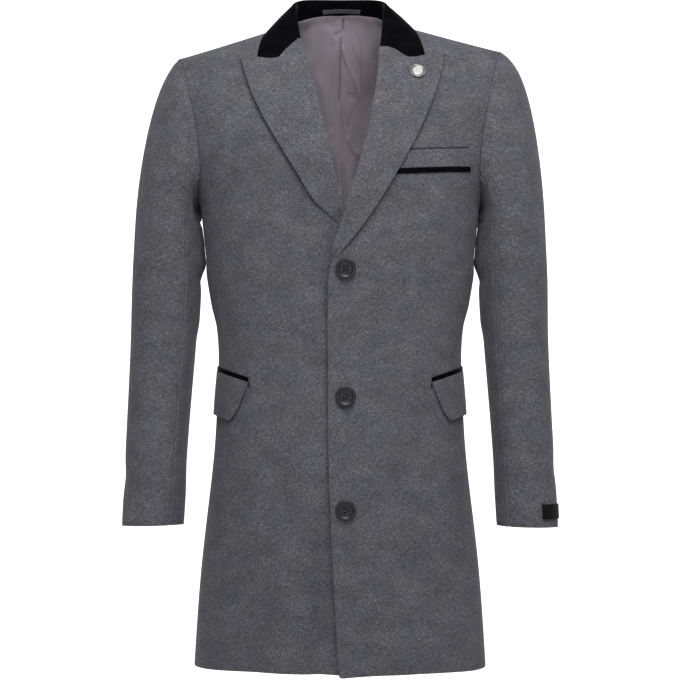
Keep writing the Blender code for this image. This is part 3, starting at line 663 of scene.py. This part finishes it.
def close_seam(first, second, outwards):
    """Draws two neighbours together along the seam between them. Outwards gives each point's way out."""
    moved = []
    for piece, neighbour in ((first, second), (second, first)):
        points = points_of(piece)
        out = outwards(points)
        surface = surface_of(neighbour)
        for number, point in enumerate(points):
            place, _, _, distance = surface.find_nearest(Vector(point), SEAM_REACH)
            if place and distance > SEAM_KEPT:
                share = eased((SEAM_REACH - distance) / SEAM_FADE)
                half_way = (np.array(place) - point) * (distance - SEAM_KEPT) / distance / 2
                points[number] += (half_way - out[number] * SEAM_DIP) * share
        moved.append(points)
    put_points(first, moved[0])
    put_points(second, moved[1])


# %% Body panels
body_panels = {}
for node in ("front_left", "front_right", "back_left", "back_right"):
    panel_cloth = cut_cloth(f"{node}_cloth", node, tweed)
    settle_on_body(panel_cloth)
    sew_on(panel_cloth, "tweed", node)
    body_panels[node] = panel_cloth
    print(panel_cloth.name, len(panel_cloth.data.polygons), "faces")
SEAMS = (("front_left", "back_left"), ("front_right", "back_right"), ("back_left", "back_right"))
for first, second in SEAMS:
    close_seam(body_panels[first], body_panels[second], out_of_body)

# %% [markdown]
# The edge of the left front, which laps over the right front, stands a little proud. The right front
# falls away beside it, so that a soft shadow runs along it and widens towards the hem. The mouth of the
# chest pocket is a slit above the welt: there the mesh is divided until it is fine enough for a narrow
# groove. These creases move the cloth straight forwards or back, and their places are simply x and
# height.

# %% Front edge and pocket mouth
EDGE_ROLL = Crease(-16.5, -312, -4, -960, 10, 3.4, 4, 0.08)
EDGE_HOLLOWS = (
    Crease(-15, -270, -10, -960, 9, -2.6, 5, 0.08),
    Crease(-28, -560, -24, -1080, 14, -5, 0, 0.35),
    Crease(-18.5, -366, 1, -252, 6, -6.2, 1, 0.18),
)
POCKET_MOUTH = Crease(70, -181.6, 177.5, -175, 1.3, -2.6, 0, 0.03)
MOUTH_LOW, MOUTH_HIGH = (0.062, -0.190), (0.184, -0.168)
FORWARDS = np.array((0.0, -1.0, 0.0))


def pick_faces(piece, wanted):
    """Opens a piece's mesh with the faces selected that are wanted for their middle and direction."""
    only(piece)
    bpy.ops.object.mode_set(mode="EDIT")
    bpy.ops.mesh.select_mode(type="FACE")
    bpy.ops.mesh.select_all(action="DESELECT")
    close_mesh()
    for face in piece.data.polygons:
        face.select = wanted(face.center, face.normal)
    bpy.ops.object.mode_set(mode="EDIT")


def divide_between(piece, low, high, cuts):
    """Divides the faces whose middles lie between two corners, which are given as x and height."""
    pick_faces(piece, lambda middle, _: low[0] < middle.x < high[0] and low[1] < middle.z < high[1])
    bpy.ops.mesh.subdivide(number_cuts=cuts)
    close_mesh()


# %% Fronts finished
front_left = body_panels["front_left"]
divide_between(front_left, MOUTH_LOW, MOUTH_HIGH, 3)
front_right = body_panels["front_right"]
for front, creases in ((front_left, (EDGE_ROLL, POCKET_MOUTH)), (front_right, EDGE_HOLLOWS)):
    points = points_of(front)
    lift = crease_lift(points[:, 0], points[:, 2], creases) * (points[:, 1] < 0)
    put_points(front, points + FORWARDS * lift[:, None])
for panel_cloth in body_panels.values():
    lay_grain(panel_cloth, *round_body(points_of(panel_cloth)))
print("left front", len(front_left.data.polygons), "faces")

# %% [markdown]
# ## Lapels
# A lapel is the front's facing turned back along the roll line. It lies on the chest, so it takes the
# folds of the body. It swells slightly along its middle because the canvas inside rolls it, and its outer
# edge stands off the chest. Both are creases in x and height again. The lower end of the right lapel is
# tucked under the left front. That of the left one runs out into the front's edge: there it narrows to a
# tip, and it is pressed on to the front, whose place a ray finds. The grain runs along the roll line
# rather than straight up, which we get by turning the map.

# %% Lapels
LAPEL_ROLLS = {
    "lapel_left": (
        Crease(10, -330, 112, -20, 26, 2.2, 4),
        Crease(0, -333, 152, -43, 11, 1.8, -10.6, 0.12),
    ),
    "lapel_right": (
        Crease(-4, -300, -108, -10, 26, 2.2, -4),
        Crease(-20, -278, -142, -46, 11, 1.8, 6.5, 0.12),
    ),
}
LAPEL_GRAIN_TURNS = {"lapel_left": math.radians(14), "lapel_right": math.radians(-14)}
TUCK = np.array((0.0145, 0.0, -0.0058))
TUCK_FROM, TUCK_TO = -0.2450, -0.2800
STOP_HEIGHTS, STOP_PLACES = (-0.334, -0.265), (-0.0130, 0.0040)
STOP_ROOM, STOP_SHARE = 0.005, 0.25
ROLL_HEIGHTS, ROLL_PLACES, ROLL_WIDTH = (-0.334, -0.282), (-0.0140, -0.0010), 0.012
RUN_OUT_FROM, RUN_OUT_TO = -0.3000, -0.3340
RUN_OUT_SHIFT = 0.0026
TIP_FROM, TIP_TO, TIP_MIDDLE, TIP_TAPER = -0.3120, -0.3340, 0.0065, 0.5
PRESS, PRESS_REACH, PRESS_CLEAR = 0.90, 0.010, 0.0004
HOLLOW_HEIGHT, HOLLOW_WIDTH, HOLLOW_DEPTH = -0.3180, 0.012, 0.0040


# %% Pressing and tucking
def press_on(points, below, share):
    """Brings points nearer to the cloth behind them by a share each, and keeps them clear of it."""
    for number in np.nonzero(share)[0]:
        place = below.ray_cast(Vector(points[number]), Vector((0, 1, 0)), PRESS_REACH)[0]
        if place:
            room = place.y - points[number, 1]
            points[number, 1] = place.y - max(room * (1 - PRESS * share[number]), min(room, PRESS_CLEAR))
    return points


def tuck_under(points):
    """Tucks the lower end of the right lapel under the left one, up to the edge of the left front."""
    tucked = eased((TUCK_FROM - points[:, 2]) / (TUCK_FROM - TUCK_TO))
    points = points + TUCK * tucked[:, None]
    stop = np.interp(points[:, 2], STOP_HEIGHTS, STOP_PLACES) - STOP_ROOM
    over = np.maximum(points[:, 0] - stop, 0)
    points[:, 0] -= over * (1 - STOP_SHARE) * (tucked > 0)
    return press_on(points, surface_of(front_right), tucked)


def run_out(points):
    """Lets the lower end of the left lapel run out into the edge of the front below it."""
    ending = eased((RUN_OUT_FROM - points[:, 2]) / (RUN_OUT_FROM - RUN_OUT_TO))
    roll_line = np.interp(points[:, 2], ROLL_HEIGHTS, ROLL_PLACES)
    outward = eased((points[:, 0] - roll_line) / ROLL_WIDTH)
    hollow = np.exp(-(((points[:, 2] - HOLLOW_HEIGHT) / HOLLOW_WIDTH) ** 2))
    points[:, 0] += RUN_OUT_SHIFT * ending - HOLLOW_DEPTH * hollow * outward
    taper = TIP_TAPER * eased((TIP_FROM - points[:, 2]) / (TIP_FROM - TIP_TO))
    points[:, 0] -= (points[:, 0] - roll_line - TIP_MIDDLE) * taper
    return press_on(points, surface_of(front_left), ending)


# %% Lapels in place
for node, rolls in LAPEL_ROLLS.items():
    lapel = cut_cloth(f"{node}_cloth", node, tweed)
    settle_on_body(lapel)
    points = points_of(lapel)
    points += FORWARDS * crease_lift(points[:, 0], points[:, 2], rolls)[:, None]
    points = run_out(points) if node == "lapel_left" else tuck_under(points)
    put_points(lapel, points)
    turn = LAPEL_GRAIN_TURNS[node]
    across = points[:, 0] * math.cos(turn) - points[:, 2] * math.sin(turn)
    up = points[:, 0] * math.sin(turn) + points[:, 2] * math.cos(turn)
    lay_grain(lapel, across, up)
    sew_on(lapel, "tweed", node)
    print(lapel.name, len(lapel.data.polygons), "faces")

# %% [markdown]
# ## Collar
# The collar stands up at the back of the neck, folds and falls over its own seam. The solid already has
# the stand, the fold and the fall, so a smoother copy of it in velvet is enough.

# %% Collar
collar = cut_cloth("collar_velvet", "collar", velvet)
sew_on(collar, "velvet", "collar")
print(collar.name, len(collar.data.polygons), "faces")

# %% [markdown]
# ## Sleeves
# Each sleeve is two pieces that meet in a front seam and a back seam. Places on it are measured round its
# own axis, from the outer side towards the front. It bends softly inside the elbow, shows one wide
# shallow band above the cuff, and swells under the arm until it almost rests against the body. The cuff
# is cut a little higher at the front than at the back.

# %% Folds of the sleeves
SleeveAxis = namedtuple("SleeveAxis", "height x y")
SLEEVE_AXIS = (
    SleeveAxis(-0.696, 0.2601, -0.030),
    SleeveAxis(-0.570, 0.2547, -0.008),
    SleeveAxis(-0.450, 0.2476, 0.006),
    SleeveAxis(-0.370, 0.2440, 0.006),
    SleeveAxis(-0.300, 0.2420, 0.002),
    SleeveAxis(-0.040, 0.2150, 0.004),
)
SLEEVE_RADIUS = 0.052
SLEEVE_GIRTH = 2 * math.pi * SLEEVE_RADIUS
SLEEVE_CREASES = {
    "left": (
        Crease(20, -478, 128, -448, 13, -1.8, 4),
        Crease(34, -520, 120, -500, 11, -1.2, -3),
        Crease(-35, -612, 105, -634, 21, -2, 6),
        Crease(78, -150, 30, -320, 20, -1.8, 6),
        Crease(-52, -432, -140, -462, 14, -1.8, -5),
        Crease(-60, -500, -150, -512, 16, -1.3, 4),
        Crease(-75, -140, -40, -330, 22, -2, -6),
        Crease(163, -340, 163, -440, 30, 2.8),
        Crease(163, -600, 163, -780, 35, 1.2),
        Crease(0, -340, 0, -640, 50, -1.6),
    ),
    "right": (
        Crease(18, -470, 122, -452, 14, -1.6, -4),
        Crease(40, -515, 126, -508, 12, -1.4, 4),
        Crease(-30, -620, 110, -628, 19, -2.1, -5),
        Crease(72, -160, 36, -340, 22, -1.7, -4),
        Crease(-48, -440, -145, -455, 13, -1.6, 5),
        Crease(-66, -495, -140, -520, 15, -1.4, -4),
        Crease(-78, -150, -46, -310, 20, -1.8, 6),
        Crease(163, -340, 163, -440, 30, 2.8),
        Crease(163, -600, 163, -780, 35, 2),
    ),
}
Swell = namedtuple("Swell", "height lift")
UNDERARM = (
    Swell(-0.355, 0.0),
    Swell(-0.347, 0.0034),
    Swell(-0.341, 0.0061),
    Swell(-0.335, 0.0085),
    Swell(-0.330, 0.0094),
    Swell(-0.310, 0.0075),
    Swell(-0.290, 0.0064),
    Swell(-0.280, 0.0070),
    Swell(-0.270, 0.0052),
    Swell(-0.255, 0.0),
)
UNDERARM_WIDTH = 0.030
CUFF_RISE = {"left": 0.0028, "right": 0.0050}
CUFF_SLANT = 0.0010
CUFF_HEIGHT, CUFF_RISE_HEIGHT = -0.696, 0.09
SIDE = {"left": 1, "right": -1}


# %% Settling cloth on a sleeve
def round_sleeve(points, side):
    """Places on a sleeve: how far round from its outer side towards the front, and how high."""
    heights = [row.height for row in SLEEVE_AXIS]
    middle_x = np.interp(points[:, 2], heights, [row.x for row in SLEEVE_AXIS])
    middle_y = np.interp(points[:, 2], heights, [row.y for row in SLEEVE_AXIS])
    out_x = side * points[:, 0] - middle_x
    out_y = points[:, 1] - middle_y
    turn = np.arctan2(-out_y, out_x)
    level = np.hypot(out_x, out_y)
    out = np.stack((side * out_x / level, out_y / level, np.zeros(len(points))), axis=1)
    return turn * SLEEVE_RADIUS, points[:, 2], out


def settle_on_sleeve(piece, word):
    """Moves a piece with the folds of its sleeve, the swell under the arm and the slope of the cuff."""
    points = points_of(piece)
    across, up, out = round_sleeve(points, SIDE[word])
    lift = crease_lift(across, up, SLEEVE_CREASES[word], SLEEVE_GIRTH)
    swell = np.interp(up, [row.height for row in UNDERARM], [row.lift for row in UNDERARM])
    from_inside = np.abs(across) - SLEEVE_GIRTH / 2
    lift += swell * np.exp(-((from_inside / UNDERARM_WIDTH) ** 2))
    points += out * lift[:, None]
    slope = CUFF_RISE[word] * (1 - out[:, 1]) / 2 - CUFF_SLANT * SIDE[word] * out[:, 0]
    points[:, 2] += slope * eased(1 - (up - CUFF_HEIGHT) / CUFF_RISE_HEIGHT)
    put_points(piece, points)
    return across, up


# %% [markdown]
# Round each armhole the top of the sleeve is drawn in until it all but meets the fronts and backs. Near
# the cuff's edge runs a line of stitches that sinks into the cloth: three level cuts with Bisect give it
# edges, and the middle one is pulled in.

# %% Sleeve seams
ARMHOLE_LOW, ARMHOLE_TOP = -0.270, -0.035
GAP_LOW, GAP_TOP = 0.0033, 0.0013
GAP_REACH, GAP_FADE, GAP_KEPT = 0.0110, 0.0080, 0.0005
STITCH_HEIGHT, STITCH_WIDTH, STITCH_DEPTH = -0.6930, 0.0009, 0.0007
armholes = surface_of(*body_panels.values())


def close_armhole(piece, side):
    """Draws the top of a sleeve in to the edge of the body's cloth, and leaves a hair's breadth."""
    points = points_of(piece)
    for number in np.nonzero(points[:, 2] > ARMHOLE_LOW)[0]:
        distance = armholes.find_nearest(Vector(points[number]))[3]
        gap = np.interp(points[number, 2], (ARMHOLE_LOW, ARMHOLE_TOP), (GAP_LOW, GAP_TOP))
        closing = min(gap, max(0, distance - GAP_KEPT))
        points[number, 0] -= side * closing * eased((GAP_REACH - distance) / GAP_FADE)
    put_points(piece, points)


def sink_stitches(piece, side):
    """Cuts three level lines near the cuff and pulls the middle one in."""
    only(piece)
    bpy.ops.object.mode_set(mode="EDIT")
    for shift in (-STITCH_WIDTH, 0, STITCH_WIDTH):
        bpy.ops.mesh.select_all(action="SELECT")
        bpy.ops.mesh.bisect(plane_co=(0, 0, STITCH_HEIGHT + shift), plane_no=(0, 0, 1))
    close_mesh()
    points = points_of(piece)
    out = round_sleeve(points, side)[2]
    on_line = np.abs(points[:, 2] - STITCH_HEIGHT) < STITCH_WIDTH / 10
    put_points(piece, points - out * (STITCH_DEPTH * on_line)[:, None])
    return int(on_line.sum())


# %% Sleeves
for word in ("left", "right"):
    sleeves = []
    for part in ("top", "under"):
        node = f"sleeve_{part}_{word}"
        sleeve = cut_cloth(f"{node}_cloth", node, tweed)
        stitched = sink_stitches(sleeve, SIDE[word])
        across, up = settle_on_sleeve(sleeve, word)
        close_armhole(sleeve, SIDE[word])
        if part == "under":
            across = across % SLEEVE_GIRTH
        lay_grain(sleeve, across, up)
        sew_on(sleeve, "tweed", node)
        sleeves.append(sleeve)
        print(sleeve.name, len(sleeve.data.polygons), "faces,", stitched, "points on the stitch line")
    close_seam(*sleeves, lambda points: round_sleeve(points, SIDE[word])[2])

# %% [markdown]
# ## Pockets
# Each hip pocket is a flap below a velvet jet, and the chest pocket a welt above one. They lie on the
# fronts, so they are settled with the same folds. The hip pockets are then pressed close to the cloth
# below.

# %% Pockets
POCKETS = (
    ("pocket_flap_left", tweed, "tweed"),
    ("pocket_flap_right", tweed, "tweed"),
    ("chest_welt", tweed, "tweed"),
    ("pocket_jet_left", velvet, "velvet"),
    ("pocket_jet_right", velvet, "velvet"),
    ("chest_jet", velvet, "velvet"),
)
PRESSED = 0.0007

for node, finish, slot in POCKETS:
    pocket = cut_cloth(f"{node}_cloth", node, finish)
    across, up = settle_on_body(pocket)
    if node.startswith("pocket"):
        points = points_of(pocket)
        put_points(pocket, points - out_of_body(points) * PRESSED)
    lay_grain(pocket, across, up)
    sew_on(pocket, slot, node)
    print(pocket.name, len(pocket.data.polygons), "faces")

# %% [markdown]
# ## Lining
# Between the lapels the satin lining of the back shows, with a pleat down its middle that lets the cloth
# give. Satin is thin and slips, so it holds sharper creases than wool: the pleat's edge, which is caught
# with a stitch below the neck, and folds that slant away from it. Such creases need a finer mesh where
# they show. A crease moves the cloth straight towards the front, and places are simply x and height. The
# lining also takes the folds of the back, which it hangs in. At the neck its edge is turned up over the
# foot of the collar stand, and a ray from the middle of the neck tells how far out it may lie there.

# %% Lining
LINING_CREASES = (
    Crease(5.3, 40, 4.1, -6, 1.1, -3.6, 0, 0.2),
    Crease(1, -6, -1.9, -100, 1, -3.2, 0.6, 0.12),
    Crease(-1, -10, -3.6, -100, 1.1, 0.9, 0.6, 0.2),
    Crease(-25, 6, -6, -18, 2.2, 1.2, 3),
    Crease(-56, 10, -28, 2, 1.8, -0.9, 1),
    Crease(-54, 2, -33, -5, 1.6, -0.8, 0.8),
    Crease(12, -6, 30, -38, 2, 1, 2),
    Crease(-16, -60, -12, -118, 2, 1.2, -1.2),
    Crease(18, -102, 12, -134, 1.8, -1.2, 1),
    Crease(0.9, -88, 3.4, -190, 2.6, -2, 1),
    Crease(3.4, -175, 9, -270, 3.2, -2.6, 0, 0.2),
    Crease(3, -14, 17, -56, 2.1, 1.9, -2, 0.25),
    Crease(14, -48, 28, -96, 2.1, 1.9, 3, 0.25),
    Crease(8, -88, 24, -86, 2.6, -1.8, 2),
    Crease(34, -10, 33.5, -90, 3.6, 2.2),
    Crease(48, 2, 44, -115, 6, -4, 2),
    Crease(33, 5, 68, 18, 5, 3, 2),
    Crease(-54, 18, -46, -40, 9, -4.2, 2),
    Crease(-10, -8.5, 4.5, -2, 1.8, -0.9, 0.8),
    Crease(-12, -2, 4.5, 1, 2, 0.6),
    Crease(-42, 12, -4, 4, 3, -1.6, 1.6),
    Crease(-34, -45, -16, -140, 7, 2.6, 3),
    Crease(12, -138, 33, -174, 2.4, 2.2, -6, 0.25),
    Crease(29, -164, 23, -215, 4.6, -3.4),
    Crease(-29, -154, -6, -134, 3.2, 1.2, 1.4),
    Crease(-20, -164, -3, -230, 6, -2.6, 2),
    Crease(-60, -240, 60, -300, 11, 2.6, 6),
    Crease(70, -360, -50, -430, 12, -2.8, -5),
)
SHOWN_LOW, SHOWN_HIGH = (-0.068, -0.270), (0.068, 0.060)
PLEAT_LOW, PLEAT_HIGH = (-0.009, -0.120), (0.010, 0.060)
SLACK, SLACK_SIDE, SLACK_SIDE_FADE, SLACK_FROM, SLACK_FADE = 0.0030, 0.085, 0.025, -0.480, 0.100
NECK_RISE, NECK_FROM, NECK_OVER = 0.0062, -0.030, 0.036
NECK_SIDE, NECK_SIDE_FADE = 0.086, 0.022
LINING_THICK, LINING_CLEAR = 0.0012, 0.0008
NECK_LOOKS = (-0.003, 0.0, 0.003)


# %% Room at the neck
def inside_neck(points, inner, within, around):
    """Draws points in towards the middle of the neck until they lie clear inside what is around it."""
    for number in np.nonzero(within)[0]:
        outwards = Vector((*points[number, :2], 0))
        reach = outwards.length
        allowed = reach
        for above in NECK_LOOKS:
            middle = Vector((0, 0, points[number, 2] + above))
            place = around.ray_cast(middle, outwards.normalized())[0]
            if place:
                room = (place - middle).length - LINING_CLEAR - LINING_THICK * inner[number]
                allowed = min(allowed, room)
        points[number, :2] *= allowed / reach
    return points


# %% Lining in place
lining = cut_cloth("lining_back_satin", "lining_back", lining_satin)
divide_between(lining, SHOWN_LOW, SHOWN_HIGH, 1)
divide_between(lining, PLEAT_LOW, PLEAT_HIGH, 2)
points = points_of(lining)
lay_grain(lining, points[:, 0], points[:, 2])
facing = np.array([vertex.normal[:] for vertex in lining.data.vertices])
inner = (facing[:, :2] * points[:, :2]).sum(axis=1) < 0
lift = crease_lift(points[:, 0], points[:, 2], LINING_CREASES)
slack = SLACK * eased((SLACK_SIDE - np.abs(points[:, 0])) / SLACK_SIDE_FADE)
slack *= eased((points[:, 2] - SLACK_FROM) / SLACK_FADE)
turned_up = eased((points[:, 2] - NECK_FROM) / NECK_OVER)
turned_up *= eased((NECK_SIDE - np.abs(points[:, 0])) / NECK_SIDE_FADE)
settle_on_body(lining)
points = points_of(lining) + FORWARDS * (lift + slack)[:, None]
points[:, 2] += NECK_RISE * turned_up
neck = surface_of(collar, body_panels["back_left"], body_panels["back_right"])
points = inside_neck(points, inner, turned_up > 0, neck)
put_points(lining, points)
sew_on(lining, "lining", "lining_back")
print(lining.name, len(lining.data.polygons), "faces")

# %% [markdown]
# ## Hanger loop and cuff label
# The loop is a short tape inside the stand, and the label a bare woven patch near the left cuff. Both are
# thin strips that the solids already place, so smooth copies in the right weave finish them.

# %% Loop and label
LOOP_RISE, LOOP_FORWARD = 0.0016, 0.0008

loop = cut_cloth("hanger_loop_tape", "hanger_loop", tape_satin)
points = points_of(loop)
points += (0, -LOOP_FORWARD, LOOP_RISE)
put_points(loop, points)
lay_grain(loop, points[:, 0], points[:, 2])
sew_on(loop, "tape", "hanger_loop")

label = cut_cloth("cuff_label_damask", "cuff_label", damask)
across, up = settle_on_sleeve(label, "left")
lay_grain(label, across, up)
sew_on(label, "label", "cuff_label")
print("loop and label", len(loop.data.polygons), len(label.data.polygons), "faces")

# %% [markdown]
# ## Bar tacks
# A pocket tears first at the front end of its mouth, so a tailor strengthens it there with a bar tack, a
# short upright bar of close black stitches. Each one is a small block with rounded edges. To set it on
# the cloth we send a ray from the front and take the place and the direction that it meets.

# %% Bar tacks
TACK_SIZE = (0.0021, 0.0066, 0.0012)
TACK_PLACES = {"right": (-0.1232, -0.4975), "left": (0.1238, -0.4990)}
TACK_CLEAR = 0.0004
TACK_ROUNDING = 0.0005
EDGE_ANGLE, SMOOTH_ANGLE = math.radians(25), math.radians(35)


def cloth_at(piece, x, z):
    """The place where a piece's front lies at x and a height, and the direction that it faces."""
    place, facing, _, _ = surface_of(piece).ray_cast(Vector((x, -1, z)), Vector((0, 1, 0)))
    return place, facing


def round_edges(piece, width, segments):
    """Rounds a piece's sharp edges with Bevel."""
    bpy.ops.object.modifier_add(type="BEVEL")
    rounding = piece.modifiers[-1]
    rounding.width = width
    rounding.segments = segments
    rounding.limit_method = "ANGLE"
    rounding.angle_limit = EDGE_ANGLE
    bpy.ops.object.modifier_apply(modifier=rounding.name)


def place_copy(pattern, name, middle, axis, turn):
    """Copies a piece that was modelled at the origin, with its own mesh, to a place and direction."""
    copy = bpy.data.objects.new(name, pattern.data.copy())
    bpy.context.scene.collection.objects.link(copy)
    facing = axis.to_track_quat("Z", "Y").to_matrix().to_4x4()
    copy.data.transform(Matrix.Translation(middle) @ facing @ Matrix.Rotation(math.radians(turn), 4, "Z"))
    return copy


# %% Tacks in place
bpy.ops.object.select_all(action="DESELECT")
bpy.ops.mesh.primitive_cube_add(size=1)
tack = bpy.context.object
open_mesh()
bpy.ops.transform.resize(value=TACK_SIZE)
close_mesh()
round_edges(tack, TACK_ROUNDING, 3)
bpy.ops.object.shade_smooth_by_angle(angle=SMOOTH_ANGLE)
give(tack, black_thread)
for word, (x, z) in TACK_PLACES.items():
    place, facing = cloth_at(body_panels[f"front_{word}"], x, z)
    middle = place + facing * (TACK_SIZE[2] / 2 + TACK_CLEAR)
    placed = place_copy(tack, f"pocket_tack_{word}", middle, facing, 0)
    sew_on(placed, "tape")
    print(placed.name, [round(value, 4) for value in place])
bpy.data.objects.remove(tack)

# %% [markdown]
# ## Buttons
# A coat button is turned: a rounded rim, a dish inside it and four holes. We start from a cylinder at the
# origin, inset its face and push it in for the dish, round the edges with Bevel, cut the holes with a
# Boolean and only then turn it to face along the solid's own axis. It is modelled once and copied to each
# place.

# %% Button
BUTTON_RADIUS = 0.0136
BUTTON_THICK = 0.0036
RIM_WIDTH = 0.0032
DISH_SLOPE = 0.0012
DISH_DEPTH = 0.0011
BUTTON_ROUNDING = 0.0011
LEVEL_REACH, LEVEL_FACING = 0.00002, 0.9
TURNED_STEPS = 64


def lie_of(node):
    """The middle of a flat round solid, and the direction that its face looks, which is forwards."""
    points = points_of(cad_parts[node])
    middle = (points.min(axis=0) + points.max(axis=0)) / 2
    axes = np.linalg.eigh(np.cov((points - middle).T))[1]
    axis = Vector(axes[:, 0])
    if axis.y > 0:
        axis = -axis
    return Vector(middle), axis


def open_top(piece, height):
    """Opens a piece's mesh with its level top at a height selected."""
    pick_faces(
        piece, lambda middle, facing: abs(middle.z - height) < LEVEL_REACH and facing.z > LEVEL_FACING
    )


# %% Button blank
bpy.ops.object.select_all(action="DESELECT")
bpy.ops.mesh.primitive_cylinder_add(vertices=TURNED_STEPS, radius=BUTTON_RADIUS, depth=BUTTON_THICK)
button = bpy.context.object
open_top(button, BUTTON_THICK / 2)
bpy.ops.mesh.inset(thickness=RIM_WIDTH)
bpy.ops.mesh.inset(thickness=DISH_SLOPE, depth=-DISH_DEPTH)
bpy.ops.mesh.inset(thickness=BUTTON_RADIUS / 10)
close_mesh()
round_edges(button, BUTTON_ROUNDING, 4)
print("button blank", len(button.data.polygons), "faces")

# %% Holes of the button
HOLE_RADIUS, HOLE_PITCH = 0.0013, 0.0045
DRILL_LENGTH, DRILL_STEPS = 0.02, 20
half_pitch = HOLE_PITCH / 2
for quarter in range(4):
    along = Matrix.Rotation(math.radians(90 * quarter), 3, "Z") @ Vector((half_pitch, half_pitch, 0))
    bpy.ops.mesh.primitive_cylinder_add(
        vertices=DRILL_STEPS, radius=HOLE_RADIUS, depth=DRILL_LENGTH, location=along
    )
    drill = bpy.context.object
    only(button)
    bpy.ops.object.modifier_add(type="BOOLEAN")
    drilling = button.modifiers[-1]
    drilling.object = drill
    drilling.solver = "EXACT"
    bpy.ops.object.modifier_apply(modifier=drilling.name)
    bpy.data.objects.remove(drill)
bpy.ops.object.shade_smooth_by_angle(angle=SMOOTH_ANGLE)
give(button, horn)
points = points_of(button)
lay_grain(button, np.hypot(points[:, 0], points[:, 1]), points[:, 2])
print("drilled button", len(button.data.polygons), "faces")

# %% [markdown]
# The thread goes up through one hole and down through the next. A flattened ring per pair of holes,
# passing through both, gives the bar that shows on the face and the run behind it.

# %% Thread of the button
STRAND_RADIUS, STRAND_SHIFT = 0.00034, 0.0003
STRAND_STEPS, STRAND_SIDES = 28, 8
THREAD_HEIGHT, THREAD_FLATNESS = -0.0007, 0.72
strands = []
for y in (half_pitch, -half_pitch):
    for shift in (-STRAND_SHIFT, STRAND_SHIFT):
        bpy.ops.mesh.primitive_torus_add(
            major_radius=half_pitch,
            minor_radius=STRAND_RADIUS,
            major_segments=STRAND_STEPS,
            minor_segments=STRAND_SIDES,
            location=(0, y + shift, THREAD_HEIGHT),
            rotation=(math.radians(90), 0, 0),
        )
        ring = bpy.context.object
        ring.scale = (1, THREAD_FLATNESS, 1)
        strands.append(ring)
bpy.ops.object.select_all(action="DESELECT")
for ring in strands:
    ring.select_set(True)
bpy.context.view_layer.objects.active = strands[0]
bpy.ops.object.join()
button_thread = bpy.context.object
bpy.ops.object.transform_apply(location=True, rotation=True, scale=True)
bpy.ops.object.shade_smooth()
give(button_thread, black_thread)
print("thread", len(button_thread.data.polygons), "faces")

# %% Buttons in place
BUTTON_TURNS = (8, -14, 21)
BUTTON_FORWARD = Vector((0, -0.0021, 0))

for number, turn in enumerate(BUTTON_TURNS, 1):
    node = f"button_{number}"
    middle, axis = lie_of(node)
    middle += body_lift_at(middle) + BUTTON_FORWARD
    placed = place_copy(button, f"{node}_horn", middle, axis, turn)
    sew_on(placed, "button", node)
    placed_thread = place_copy(button_thread, f"{node}_thread", middle, axis, turn)
    sew_on(placed_thread, "tape")
    print(placed.name, [round(value, 4) for value in middle])
bpy.data.objects.remove(button)
bpy.data.objects.remove(button_thread)

# %% [markdown]
# ## Lapel pin
# The pin is a small struck disc: a raised rim, a sunk ring and a domed pale centre. It is shaped from a
# cylinder like the button, with one inset for each step, and the centre is a flattened ball set into it.

# %% Pin
PIN_RADIUS, PIN_THICK, PIN_ROUNDING = 0.0108, 0.0026, 0.00022
Step = namedtuple("Step", "inwards up")
PIN_STEPS = (
    Step(0.0015, 0),
    Step(0.0003, -0.0012),
    Step(0.0008, 0),
    Step(0.0003, 0.0010),
    Step(0.0006, 0),
    Step(0.0002, -0.0005),
)

bpy.ops.object.select_all(action="DESELECT")
bpy.ops.mesh.primitive_cylinder_add(vertices=TURNED_STEPS, radius=PIN_RADIUS, depth=PIN_THICK)
pin = bpy.context.object
open_top(pin, PIN_THICK / 2)
for step in PIN_STEPS:
    bpy.ops.mesh.inset(thickness=step.inwards, depth=step.up)
close_mesh()
round_edges(pin, PIN_ROUNDING, 3)
bpy.ops.object.shade_smooth_by_angle(angle=SMOOTH_ANGLE)
give(pin, silvered)

# %% Enamel
DOME_RADIUS, DOME_FLATNESS, DOME_HEIGHT = 0.0070, 0.13, 0.0006
DOME_STEPS, DOME_RINGS = 40, 20

bpy.ops.mesh.primitive_uv_sphere_add(segments=DOME_STEPS, ring_count=DOME_RINGS, radius=DOME_RADIUS)
dome = bpy.context.object
open_mesh()
bpy.ops.transform.resize(value=(1, 1, DOME_FLATNESS))
bpy.ops.transform.translate(value=(0, 0, DOME_HEIGHT))
close_mesh()
bpy.ops.object.shade_smooth()
give(dome, enamel)

# %% Pin in place
middle, axis = lie_of("lapel_pin")
middle += body_lift_at(middle)
placed = place_copy(pin, "lapel_pin_silver", middle, axis, 0)
sew_on(placed, "pin", "lapel_pin")
placed_dome = place_copy(dome, "lapel_pin_enamel", middle, axis, 0)
sew_on(placed_dome, "pin")
bpy.data.objects.remove(pin)
bpy.data.objects.remove(dome)
print("pin at", [round(value, 4) for value in middle])

# %% [markdown]
# ## Cloth as it was cut
# Each piece of cloth was cut flat before it was sewn.

# %% Cuts
Cut = namedtuple("Cut", "piece width length area held rests_on")
